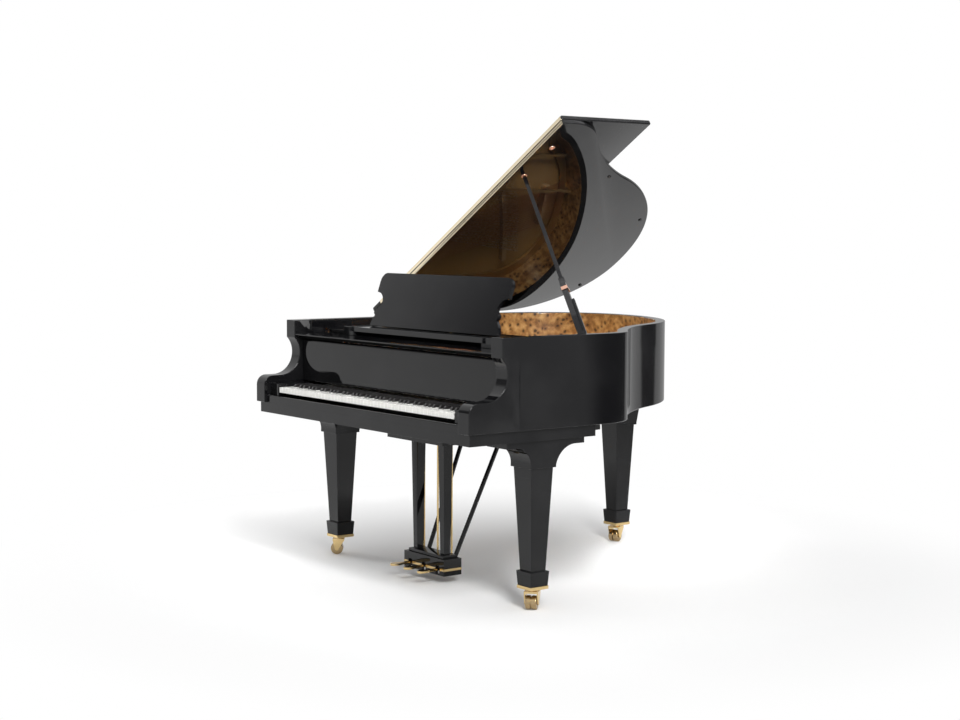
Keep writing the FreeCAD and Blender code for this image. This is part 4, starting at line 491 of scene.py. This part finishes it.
dress(satin, "inner_rim", "case_beams", "key_frame")
softened("keybed", 0.0025, lacquer)
softened("key_blocks", 0.003, lacquer)
softened("keyslip", 0.0, lacquer)

# Soundboard and ribs: quarter-sawn spruce, thin and crowned, with straight close rings that run along the
# long bridge, under a thin amber varnish.
spruce, shader, place = finish("spruce")
turned = place.node("ShaderNodeMapping", {}, {"Vector": place, "Rotation": (0.0, 0.0, 0.62)})
rings = place.node("ShaderNodeTexWave", {"bands_direction": "Y"},
                   {"Vector": turned, "Scale": 85.0, "Distortion": 1.2, "Detail": 2.0, "Detail Scale": 0.6},
                   "Fac")
shade = turned.noise(7.0, 4.0)
wood = (rings * 0.55 + shade * 0.45).between((0.60, 0.36, 0.13, 1), (0.36, 0.185, 0.055, 1))
place.feed(shader, {"Base Color": wood, "Roughness": 0.30 + rings * 0.10, "Coat Weight": 0.5,
                    "Coat Roughness": 0.12})
dress(spruce, "soundboard", "soundboard_ribs")

# Action stand, pin block and bridges: hard pale maple, planed and left with a thin sealer. The bridges are
# glued to the soundboard, the pin block is screwed under the plate, and the stand lies on the key frame.
maple, shader, place = finish("maple")
grain = place.stretched(6.0, 90.0, 90.0)
fibre = grain.noise(3.0, 6.0)
place.feed(shader, {"Base Color": fibre.between((0.62, 0.42, 0.22, 1), (0.44, 0.26, 0.11, 1)),
                    "Roughness": 0.42 + fibre * 0.15, "Normal": fibre.bump(0.10, 0.0003)})
dress(maple, "action_stand", "pin_block")
softened("bridges", 0.003, maple)

# Plate: cast iron that takes the pull of all the strings, sprayed with bronze powder under a clear coat.
# Its casting skin shows as a fine pebble.
bronze, shader, place = finish("bronze_iron")
pebble = place.noise(420.0, 3.0)
cast = place.noise(9.0, 4.0)
powder = (pebble * 0.5 + cast * 0.5).between((0.40, 0.215, 0.070, 1), (0.66, 0.42, 0.165, 1))
place.feed(shader, {"Base Color": powder, "Metallic": 0.75, "Roughness": 0.30 + pebble * 0.16,
                    "Coat Weight": 0.5, "Coat Roughness": 0.08, "Normal": pebble.bump(0.16, 0.0004)})
softened("plate", 0.0035, bronze, 3)

# Felt: a red strip under the strings in front of the strike line, woven thick and shorn, and glued to the
# plate so that the ends of the strings keep still.
red_felt, shader, place = finish("red_felt")
nap = place.noise(900.0, 4.0)
place.feed(shader, {"Base Color": nap.between((0.20, 0.010, 0.012, 1), (0.42, 0.035, 0.035, 1)),
                    "Roughness": 0.95, "Sheen Weight": 0.4, "Normal": nap.bump(0.5, 0.0006)})
softened("string_felt", 0.0012, red_felt)

# Strings: steel wire in threes for each note of the tenor and treble; in the bass one or two heavier ones
# wound close with copper, crossing above the tenor. Each runs from its pin over the bridge to a hitch.
steel, shader, place = finish("steel_wire")
tarnish = place.noise(120.0, 2.0)
place.feed(shader, {"Base Color": tarnish.between((0.50, 0.50, 0.51, 1), (0.70, 0.69, 0.67, 1)),
                    "Metallic": 1.0, "Roughness": 0.20 + tarnish * 0.15})
copper, shader, place = finish("copper_winding")
turns = place.node("ShaderNodeTexWave", {"bands_direction": "Y"}, {"Vector": place, "Scale": 260.0}, "Fac")
tarnish = place.noise(60.0, 3.0)
# Partly painted shade: the copper is darker in bands along the turns, standing for the shadow in the grooves
# of the winding; the tarnish noise is the wire's own colour.
groove_shade_and_tarnish = (turns * 0.6 + tarnish * 0.4).between((0.34, 0.125, 0.055, 1), (0.78, 0.37, 0.20, 1))
place.feed(shader, {"Base Color": groove_shade_and_tarnish, "Metallic": 1.0, "Roughness": 0.26 + tarnish * 0.12,
                    "Normal": turns.bump(0.4, 0.0003)})


def string_ends(node, count):
    """The two ends of each string of a node, as arrays (strings, 3): the mean of each end's corners."""
    mesh = frame["nodes"][node].data
    corner = np.empty(len(mesh.vertices) * 3)
    mesh.vertices.foreach_get("co", corner)
    corner = corner.reshape(count, -1, 3)
    front = corner[..., 1] < corner[..., 1].mean(1, keepdims=True)
    return [(corner * chosen[..., None]).sum(1) / chosen.sum(1)[:, None] for chosen in (front, ~front)]


WIRE_SIDES, WIRE_STATIONS = 6, (0.0, 0.05, 0.5, 0.93, 1.0)


def wires(first, last, beside, radius):
    """Round wires between the points first and last, each moved sideways by a distance: a ring of points about
    every station, square to the wire in plan."""
    run = last - first
    run /= np.linalg.norm(run, axis=1, keepdims=True)
    across = np.stack([run[:, 1], -run[:, 0], 0 * run[:, 0]], 1)
    part = np.array(WIRE_STATIONS)[None, :, None]
    station = first[:, None] + part * (last - first)[:, None] + across[:, None] * beside
    turn = np.linspace(0, 2 * np.pi, WIRE_SIDES + 1)[:-1]
    ring = across[:, None, None] * np.cos(turn)[:, None] + np.array([0, 0, 1]) * np.sin(turn)[:, None]
    return [shell(one) for one in station[:, :, None] + radius * ring]


BASS_NOTES, SINGLE_NOTES, NOTES = 20, 10, 88
plain_from, plain_to = string_ends("plain_strings", NOTES - BASS_NOTES)
bass_from, bass_to = string_ends("bass_strings", BASS_NOTES)
THIRD, PAIR = 0.0026, 0.0034
PLAIN_WIRE, SINGLE_WIRE, PAIR_WIRE = 0.0005, 0.0017, 0.0013
plain = [wire for beside in (-THIRD, 0, THIRD) for wire in wires(plain_from, plain_to, beside, PLAIN_WIRE)]
piece("steel_strings", plain, steel, "steel", "case", "plain_strings")
single = wires(bass_from[:SINGLE_NOTES], bass_to[:SINGLE_NOTES], 0, SINGLE_WIRE)
paired_from, paired_to = bass_from[SINGLE_NOTES:], bass_to[SINGLE_NOTES:]
double = [wire for beside in (-PAIR, PAIR) for wire in wires(paired_from, paired_to, beside, PAIR_WIRE)]
piece("wound_strings", single + double, copper, "copper", "case", "bass_strings")

# Tuning pins: blued steel, each with a squared head for the tuner's lever and a coil of its wire below.
# They are driven through the plate into the pin block, one for every wire, in staggered rows.
PIN_LOW, PIN_RADIUS, PIN_SIDES = 0.886, 0.0031, 8
PIN_AHEAD, PIN_ROW, PAIR_ROW = 0.004, 0.0095, 0.0125
around = np.linspace(0, 2 * np.pi, PIN_SIDES + 1)[:-1]
squared = 0.86 / np.maximum(np.abs(np.cos(around)), np.abs(np.sin(around)))
height = np.array([0, 0.0055, 0.006, 0.0125, 0.013, 0.0215, 0.0225, 0.034])
reach = PIN_RADIUS * np.array([1, 1, 1.28, 1.28, 1, 0.98, 0.86, 0.80])[:, None]
reach = reach * np.where((height > 0.022)[:, None], squared, 1.0)
level = np.repeat(PIN_LOW + height[:, None], PIN_SIDES, 1)
pin = np.stack([reach * np.cos(around), reach * np.sin(around), level], -1)
on_plan = (1, 1, 0)
spots = [plain_from * on_plan + (k * THIRD, -PIN_AHEAD - (k + 1) * PIN_ROW, 0) for k in (-1, 0, 1)]
spots += [bass_from * on_plan - (0, PIN_AHEAD, 0), paired_from * on_plan + (PAIR, -PIN_AHEAD - PAIR_ROW, 0)]
piece("pins", [shell(pin + spot) for spot in np.concatenate(spots)], steel, "steel", "case", "tuning_pins")

# Dampers: small lacquered blocks with a pad of white felt, each lying on its note's strings on a wire that
# comes up between them.
wool, shader, place = finish("white_felt")
nap = place.noise(700.0, 4.0)
place.feed(shader, {"Base Color": nap.between((0.58, 0.54, 0.46, 1), (0.80, 0.77, 0.70, 1)),
                    "Roughness": 0.95, "Sheen Weight": 0.3, "Normal": nap.bump(0.4, 0.0005)})
DAMPED, DAMPER_MIDDLE, ON_BASS, ON_PLAIN = 66, 0.619, 0.9169, 0.8953
PAD_TOP, HEAD_TOP, STEM_TOP, STEM_FOOT = 0.0065, 0.019, 0.001, 0.790
first = np.concatenate([bass_from, plain_from])[:DAMPED]
run = np.concatenate([bass_to, plain_to])[:DAMPED] - first
middle = first[:, 0] + run[:, 0] * (DAMPER_MIDDLE - first[:, 1]) / run[:, 1]
on_strings = np.where(np.arange(DAMPED) < BASS_NOTES, ON_BASS, ON_PLAIN)
spots = np.column_stack([middle, np.full(DAMPED, DAMPER_MIDDLE), on_strings])
plan = oblong(-0.004, -0.015, 0.004, 0.015, 0.0014, 1)
pad, head = slab(plan, 0.0, PAD_TOP, 0.0006, 1), slab(plan * 0.94, PAD_TOP, HEAD_TOP, 0.0012, 2)
piece("damper_pads", [shell(pad + spot) for spot in spots], wool, "felt_red", "damper_set")
# Each stem is a short one whose lower end is drawn down to where they all end.
stem = slab(oblong(0.0024, -0.0008, 0.0040, 0.0008, 0.0002, 1), 0.0, STEM_TOP, 0.0001, 1)
lower = (np.arange(3) == 2) & (stem < STEM_TOP / 2)
stems = [shell(np.where(lower, STEM_FOOT - spot[2], stem) + spot) for spot in spots]
piece("damper_heads", [shell(head + spot) for spot in spots] + stems, lacquer, "black_lacquer", "damper_set",
      "dampers")

# Keys: fifty-two levers of spruce faced on top and in front with white acrylic, cut round the sharps, and
# thirty-six with black sharps glued on. All rock on the balance rail.
OCTAVE, GAP = 0.165, 0.0005
KEY_FRONT, KEY_NECK, KEY_END, KEY_TOP, KEY_LOW = 0.033, 0.084, 0.430, 0.743, 0.721
WHITE_STEPS = (0, 2, 4, 5, 7, 9, 11)
acrylic, shader, place = finish("white_key")
depth, level = (place.node("ShaderNodeSeparateXYZ", {}, {"Vector": place}, axis) for axis in "YZ")
faced = level.rise(KEY_TOP - 0.0045, KEY_TOP - 0.0040).most(depth.rise(KEY_FRONT + 0.0032, KEY_FRONT + 0.0028))
tint = place.noise(30.0, 3.0)
grain = place.stretched(90.0, 4.0, 90.0).noise(3.0, 4.0)
stick = grain.between((0.60, 0.42, 0.22, 1), (0.42, 0.26, 0.12, 1))
white = tint.between((0.72, 0.71, 0.675, 1), (0.78, 0.775, 0.75, 1))
place.feed(shader, {"Base Color": faced.between(stick, white), "Roughness": 0.55 - faced * 0.33,
                    "Coat Weight": faced * 0.6})
ebony, shader, place = finish("black_key")
grain = place.stretched(160.0, 6.0, 160.0).noise(3.0, 5.0)
place.feed(shader, {"Base Color": grain.between((0.004, 0.004, 0.004, 1), (0.013, 0.012, 0.012, 1)),
                    "Roughness": 0.22 + grain * 0.16, "Normal": grain.bump(0.08, 0.0002)})

# Seen from the front an octave is seven like whites; behind the sharps its first three are shared out among
# five keys and its other four among seven. The lowest note is an A, and the middle of the row is X = 0.
white_width = OCTAVE / 7
whites, natural_necks, sharp_necks = [], [], []
for note in range(NOTES):
    octave, letter = divmod(note + 9, 12)
    base = (7 * octave - 5 - 26) * white_width
    width = white_width * (3 / 5 if letter < 5 else 4 / 7)
    low = base + (letter * width if letter < 5 else 3 * white_width + (letter - 5) * width)
    high = low + width
    if letter in WHITE_STEPS:
        left = base + WHITE_STEPS.index(letter) * white_width
        right = left + white_width
        low, high = (left if note == 0 else low), (right if note == NOTES - 1 else high)
        walk = [(left + GAP, KEY_FRONT), (right - GAP, KEY_FRONT)]
        walk += [(right - GAP, KEY_NECK), (high - GAP, KEY_NECK)] if right - high > 1e-6 else []
        walk += [(high - GAP, KEY_END), (low + GAP, KEY_END)]
        walk += [(low + GAP, KEY_NECK), (left + GAP, KEY_NECK)] if low - left > 1e-6 else []
        outline = rounded([(x, y, 0.0010) for x, y in walk], 2)
        whites.append(shell(slab(outline, KEY_LOW, KEY_TOP, 0.0008, 2)))
        natural_necks.append((low + high) / 2)
    else:
        sharp_necks.append((low + high) / 2)
piece("white_key_levers", whites, acrylic, "key_white", "naturals", "white_keys")

SHARP_HALF, SHARP_FRONT, SHARP_BACK, SHARP_TOP = 0.0052, 0.0855, 0.180, 0.755
# A sharp narrows and slopes back as it rises: each ring's height, inset of its sides and setback of its front.
SHARP_RINGS = [(KEY_TOP - 0.001, 0.0, 0.001), (SHARP_TOP - 0.0032, 0.0004, 0.0070),
               (SHARP_TOP - 0.0014, 0.0007, 0.0086), (SHARP_TOP - 0.0004, 0.0013, 0.0098),
               (SHARP_TOP, 0.0024, 0.0112)]
sharp = []
for height, inset, setback in SHARP_RINGS:
    side, front, back = SHARP_HALF - inset, SHARP_FRONT + setback, SHARP_BACK - inset
    outline = rounded([(-side, front, 0.0012), (side, front, 0.0012), (side, back, 0.0006),
                       (-side, back, 0.0006)], 2)
    sharp.append(np.column_stack([outline, np.full(len(outline), height)]))
lever = oblong(-SHARP_HALF, SHARP_FRONT, SHARP_HALF, KEY_END, 0.0006, 1)
lever = slab(lever, KEY_LOW, KEY_TOP, 0.0005, 1)
sharps = [shell(part + (x, 0, 0)) for x in sharp_necks for part in (np.stack(sharp), lever)]
piece("sharp_key_levers", sharps, ebony, "key_black", "sharps", "black_keys")

# Hammers: a maple shank from a pivot on the rail to a wooden core with wool felt pressed round it. At rest
# they lie a little below the strings.
PIVOT, LEVEL, REACH, BLOW = 0.465, 0.822, 0.121, math.radians(22)
CROWN = 0.891 - LEVEL
pear = rounded([(REACH - 0.0095, -0.012, 0.002), (REACH + 0.0085, -0.012, 0.002),
                (REACH + 0.0105, CROWN - 0.024, 0.008), (REACH + 0.0005, CROWN + 0.006, 0.006),
                (REACH - 0.0105, CROWN - 0.024, 0.008)], 3)
pear[:, 1] = np.minimum(pear[:, 1], CROWN)
core = oblong(0, -0.003, REACH - 0.009, 0.003, 0.0010, 1)


def at_rest(rings):
    """A hammer drawn at its blow, as (forward, up, across), turned down about its pivot to where it rests."""
    forward, up, across = np.moveaxis(rings, -1, 0)
    return np.stack([across, PIVOT + forward * math.cos(BLOW) + up * math.sin(BLOW),
                     LEVEL - forward * math.sin(BLOW) + up * math.cos(BLOW)], -1)


felt_head = at_rest(slab(pear, -0.004, 0.004, 0.0012, 1))
shank = at_rest(slab(core, -0.0025, 0.0025, 0.0008, 1))
for name, body, necks in (("natural_hammers", "hammers_of_naturals", natural_necks),
                          ("sharp_hammers", "hammers_of_sharps", sharp_necks)):
    across = [(x, 0, 0) for x in necks]
    piece(name + "_felts", [shell(felt_head + x) for x in across], wool, "felt_red", body)
    piece(name + "_shanks", [shell(shank + x) for x in across], maple, "maple", body, name)

# Fallboard and stretcher: the fallboard folds down over the keys on pins in the cheeks; its face is a bare
# mirror of black. The stretcher ties the two arms together above it.
low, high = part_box("fallboard")
FALL_FACE, FALL_BACK, FALL_FOOT, FALL_TOP = 0.188, 0.210, 0.762, 0.936
fall_side = rounded([(FALL_FACE, FALL_FOOT, 0.0025), (FALL_BACK, FALL_FOOT, 0.0025),
                     (FALL_BACK, FALL_TOP, 0.006), (FALL_FACE, FALL_TOP, 0.009)], 5)
piece("fallboard_panel", [shell(crosswise(fall_side, low.x, high.x, 0.002))], lacquer, "black_lacquer", "fall",
      "fallboard")
# The stretcher's front edge is a thin lip, hollowed below to let the fallboard swing; a coved ledge at its
# back, cut away for the desk's rails, stops the shelf.
low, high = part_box("stretcher")
STRETCHER_TOP, LIP_UNDER, LEDGE_FOOT = 0.958, 0.9535, 0.9575
HOLLOW_END, BOARD_FRONT, LEDGE_FRONT, LEDGE_BROW = low.y + 0.062, low.y + 0.095, 0.3285, 0.318
RAIL_OUT, RAIL_IN = 0.5127, 0.4373
stretcher_side = rounded([(BOARD_FRONT, low.z, 0.003), (high.y, low.z, 0.0015),
                          (high.y, STRETCHER_TOP, 0.0015), (low.y, STRETCHER_TOP, 0.0016),
                          (low.y, LIP_UNDER, 0.0016), (HOLLOW_END, LIP_UNDER, 0.004)], 3)
ledge_side = rounded([(LEDGE_FRONT, LEDGE_FOOT, 0.0003), (high.y, LEDGE_FOOT, 0.0003),
                      (high.y, high.z, 0.0008), (LEDGE_BROW, high.z, 0.0008)], 3)
runs = [(stretcher_side, low.x, high.x), (ledge_side, low.x, -RAIL_OUT), (ledge_side, -RAIL_IN, RAIL_IN),
        (ledge_side, RAIL_OUT, high.x)]
piece("stretcher_board", [shell(crosswise(side, left, right, 0.0003)) for side, left, right in runs],
      lacquer, "black_lacquer", "case", "stretcher")
# A strip of near-black felt with little sheen fills the back of the hollow: a dark sheet put there as painted
# shade, so the recess under the lip looks black.
black_felt, shader, place = finish("black_felt")
nap = place.noise(800.0, 4.0)
place.feed(shader, {"Base Color": nap.between((0.002, 0.002, 0.002, 1), (0.006, 0.006, 0.006, 1)),
                    "Roughness": 0.95, "IOR": 1.15, "Normal": nap.bump(0.4, 0.0005)})
recess_shade_side = oblong(low.y + 0.036, low.z + 0.0005, low.y + 0.100, LIP_UNDER + 0.001, 0.001)
piece("stretcher_felt", [shell(crosswise(recess_shade_side, low.x + 0.001, high.x - 0.001, 0.0005))], black_felt,
      "black_lacquer", "case")

# Music desk: rails on the stretcher, a shelf that slides in them, and a panel with scrolled ends that leans
# back on a strut. The panel folds flat on its hinge.
for node in ("desk_rails", "desk_shelf", "desk_panel"):
    softened(node, 0.002, lacquer)

# Brass: the desk's strut here, and later the hinges, casters, bands and pedals, cast or rolled, then polished
# and lacquered. Fine scratches from the polishing run level round the pieces.
brass, shader, place = finish("brass")
rub = place.noise(45.0, 5.0)
fine = place.stretched(40.0, 40.0, 900.0).noise(2.0, 2.0)
place.feed(shader, {"Base Color": rub.between((0.62, 0.44, 0.20, 1), (0.74, 0.56, 0.28, 1)), "Metallic": 1.0,
                    "Roughness": 0.08 + rub * 0.07 + fine * 0.04})
softened("desk_strut", 0.0008, brass)

# Lid: a laminated board over the whole case, hinged on the bass side and propped open; its front flap folds
# back on top of it along a brass hinge. Both are mirror black on every face.
LID_TURN, LID_FOOT = math.radians(31.2), (-0.750, 0.0, 1.017)


def on_lid(rings):
    """From the lid's own axes, x out from the hinge and z up from its plane, to the open lid."""
    x, y, z = np.moveaxis(rings, -1, 0)
    return np.stack([LID_FOOT[0] + x * math.cos(LID_TURN) - z * math.sin(LID_TURN), y,
                     LID_FOOT[2] + x * math.sin(LID_TURN) + z * math.cos(LID_TURN)], -1)


FOLD_LINE, OVERHANG, FLAP_END, LID_EDGE = 0.598, 0.014, 1.053, 0.004
LID_LOW, LID_TOP, FLAP_LOW, FLAP_TOP = 0.0025, 0.0205, 0.021, 0.039
lid_plan = case_line(-OVERHANG, FOLD_LINE, 36, 0.0) - (LID_FOOT[0], 0)
lid_rings = on_lid(slab(lid_plan, LID_LOW, LID_TOP, LID_EDGE, 4))
piece("lid_board", [shell(lid_rings)], lacquer, "black_lacquer", "lid", "main_lid")
flap_in, flap_out = 0.005, HALF - LID_FOOT[0] + OVERHANG
flap_plan = rounded([(flap_in, FOLD_LINE, 0.0045), (flap_out, FOLD_LINE, 0.0045), (flap_out, FLAP_END, 0.006),
                     (flap_in, FLAP_END, 0.006)], 4)
flap_rings = on_lid(slab(flap_plan, FLAP_LOW, FLAP_TOP, LID_EDGE, 4))
piece("flap_board", [shell(flap_rings)], lacquer, "black_lacquer", "flap", "front_flap")
# The two edge leaves are brushed along their length; the near-black, rougher band at their joint is painted
# shade of the gap there.
leaf_brass, shader, place = finish("leaf_brass")
upright = place.node("ShaderNodeVectorMath", {"operation": "DOT_PRODUCT"},
                     {0: place, 1: (-math.sin(LID_TURN), 0.0, math.cos(LID_TURN))}, "Value")
upright = upright - (LID_FOOT[2] * math.cos(LID_TURN) - LID_FOOT[0] * math.sin(LID_TURN))
gap_shade = upright.rise(LID_TOP - 0.0025, LID_TOP - 0.0015) * upright.rise(FLAP_LOW + 0.0026, FLAP_LOW + 0.0016)
lengthwise = place.node("ShaderNodeMapping", {}, {"Vector": place, "Rotation": (0.0, LID_TURN, 0.0),
                                                  "Scale": (3.0, 300.0, 900.0)})
brushed = lengthwise.noise(2.0, 2.0)
metal = brushed.between((0.86, 0.74, 0.52, 1), (0.93, 0.83, 0.64, 1))
place.feed(shader, {"Base Color": gap_shade.between(metal, (0.050, 0.034, 0.018, 1)), "Metallic": 1.0,
                    "Roughness": 0.20 + brushed * 0.10 + gap_shade * 0.3})
softened("flap_edge_leaf", 0.0003, leaf_brass, 1)
softened("lid_hinge_leaves", 0.0003, leaf_brass, 1)
softened("rim_hinge_leaves", 0.0003, brass, 1)

# Lid fittings: two rose-gold cups for the prop's tip, turned and screwed to the underside, and three rubber
# bumpers that meet the rim.
rose, shader, place = finish("rose_gold")
rub = place.noise(80.0, 4.0)
place.feed(shader, {"Base Color": rub.between((0.70, 0.38, 0.27, 1), (0.86, 0.54, 0.42, 1)), "Metallic": 1.0,
                    "Roughness": 0.10 + rub * 0.12})
rubber, shader, place = finish("rubber")
speck = place.noise(300.0, 3.0)
place.feed(shader, {"Base Color": speck.between((0.008, 0.008, 0.008, 1), (0.024, 0.023, 0.022, 1)),
                    "Roughness": 0.5 + speck * 0.2})


CUP_SIDES, CUP_LINE, CUP_SPOTS = 32, 0.655, (1.145, 1.345)


def turned_on_lid(x, y, profile):
    """A turned piece on the lid: circles of each radius at each height, about an axis square to the lid."""
    radius, level = np.array(profile).T[..., None]
    turn = np.linspace(0, 2 * np.pi, CUP_SIDES + 1)[:-1]
    rings = [x + radius * np.cos(turn), y + radius * np.sin(turn), np.repeat(level, CUP_SIDES, 1)]
    return shell(on_lid(np.stack(rings, -1)))


cup = [(0.0128, 0.0025), (0.0130, 0.0012), (0.0125, 0.0), (0.0112, -0.0011), (0.0096, -0.0015),
       (0.0080, -0.0012), (0.0068, 0.0), (0.0062, 0.0014), (0.0060, 0.0022)]
piece("turned_cups", [turned_on_lid(spot, CUP_LINE, cup) for spot in CUP_SPOTS], rose, "rose_gold", "lid",
      "prop_cups")
softened("lid_bumpers", 0.001, rubber)

# Props: a long stick of lacquered wood, broad at its foot and slim above, hung on a pin in a bracket; a short
# one lies along it, held by a rose-gold catch.
softened("lid_prop", 0.0015, lacquer)
softened("short_prop", 0.0012, lacquer)
softened("prop_catch", 0.0005, rose)
softened("prop_bracket", 0.0008, rose)

# Legs: square tapering posts of solid wood with a stepped cuff at the foot and a scrolled bracket at the top,
# each plated under the case. A brass band is pressed on under each cuff.
for leg in ("leg_treble", "leg_bass", "leg_tail"):
    softened(leg, 0.002, lacquer)
softened("leg_bands", 0.0008, brass)

# Casters: a brass fork that swivels on a stem, holding a pair of rollers on an axle; the rollers are a darker,
# browner brass.
worn_brass, shader, place = finish("worn_brass")
rub = place.noise(260.0, 4.0)
place.feed(shader, {"Base Color": rub.between((0.34, 0.245, 0.130, 1), (0.46, 0.345, 0.190, 1)),
                    "Metallic": 1.0, "Roughness": 0.20 + rub * 0.10})
for corner in ("bass", "treble", "tail"):
    softened("caster_fork_" + corner, 0.001, brass)
    softened("caster_wheels_" + corner, 0.0, worn_brass)

# Lyre: a head under the keybed, two tapering posts and the pedal box with its brass band, tied back by two
# sloping braces; brass rods carry the pedals' movement up through the keybed.
softened("lyre_frame", 0.002, lacquer)
softened("pedal_box", 0.002, lacquer)
BAND_LOW, BAND_TOP, BAND_EDGE, BAND_THICK = 0.0530, 0.0625, 0.0003, 0.0014
BAND_SIDE, BAND_FRONT, BAND_FACE_BACK, BAND_BACK = 0.1376, 0.3344, 0.3362, 0.4216
PEDAL_APART, PEDAL_ROOM = 0.094, 0.0145


def strip(left, front, right, back):
    """One straight run of the band, between two opposite corners in plan, with its edges turned over."""
    plan = oblong(left, front, right, back, 1.2 * BAND_EDGE, 2)
    return shell(slab(plan, BAND_LOW, BAND_TOP, BAND_EDGE, 2))


# In front the band is cut away round the three pedals.
cuts = [pedal + side for pedal in (-PEDAL_APART, 0, PEDAL_APART) for side in (-PEDAL_ROOM, PEDAL_ROOM)]
ends = [-BAND_SIDE, *cuts, BAND_SIDE]
band = [strip(left, BAND_FRONT, right, BAND_FACE_BACK) for left, right in zip(ends[::2], ends[1::2])]
band += [strip(left, BAND_FRONT, left + BAND_THICK, BAND_BACK)
         for left in (-BAND_SIDE, BAND_SIDE - BAND_THICK)]
band += [strip(-BAND_SIDE, BAND_BACK - BAND_THICK, BAND_SIDE, BAND_BACK)]
piece("box_band", band, brass, "brass", "case")
softened("lyre_braces", 0.0, lacquer)
for side in ("left", "middle", "right"):
    softened("pedal_" + side, 0.002, brass, 3)
    softened("pedal_rod_" + side, 0.0, brass)
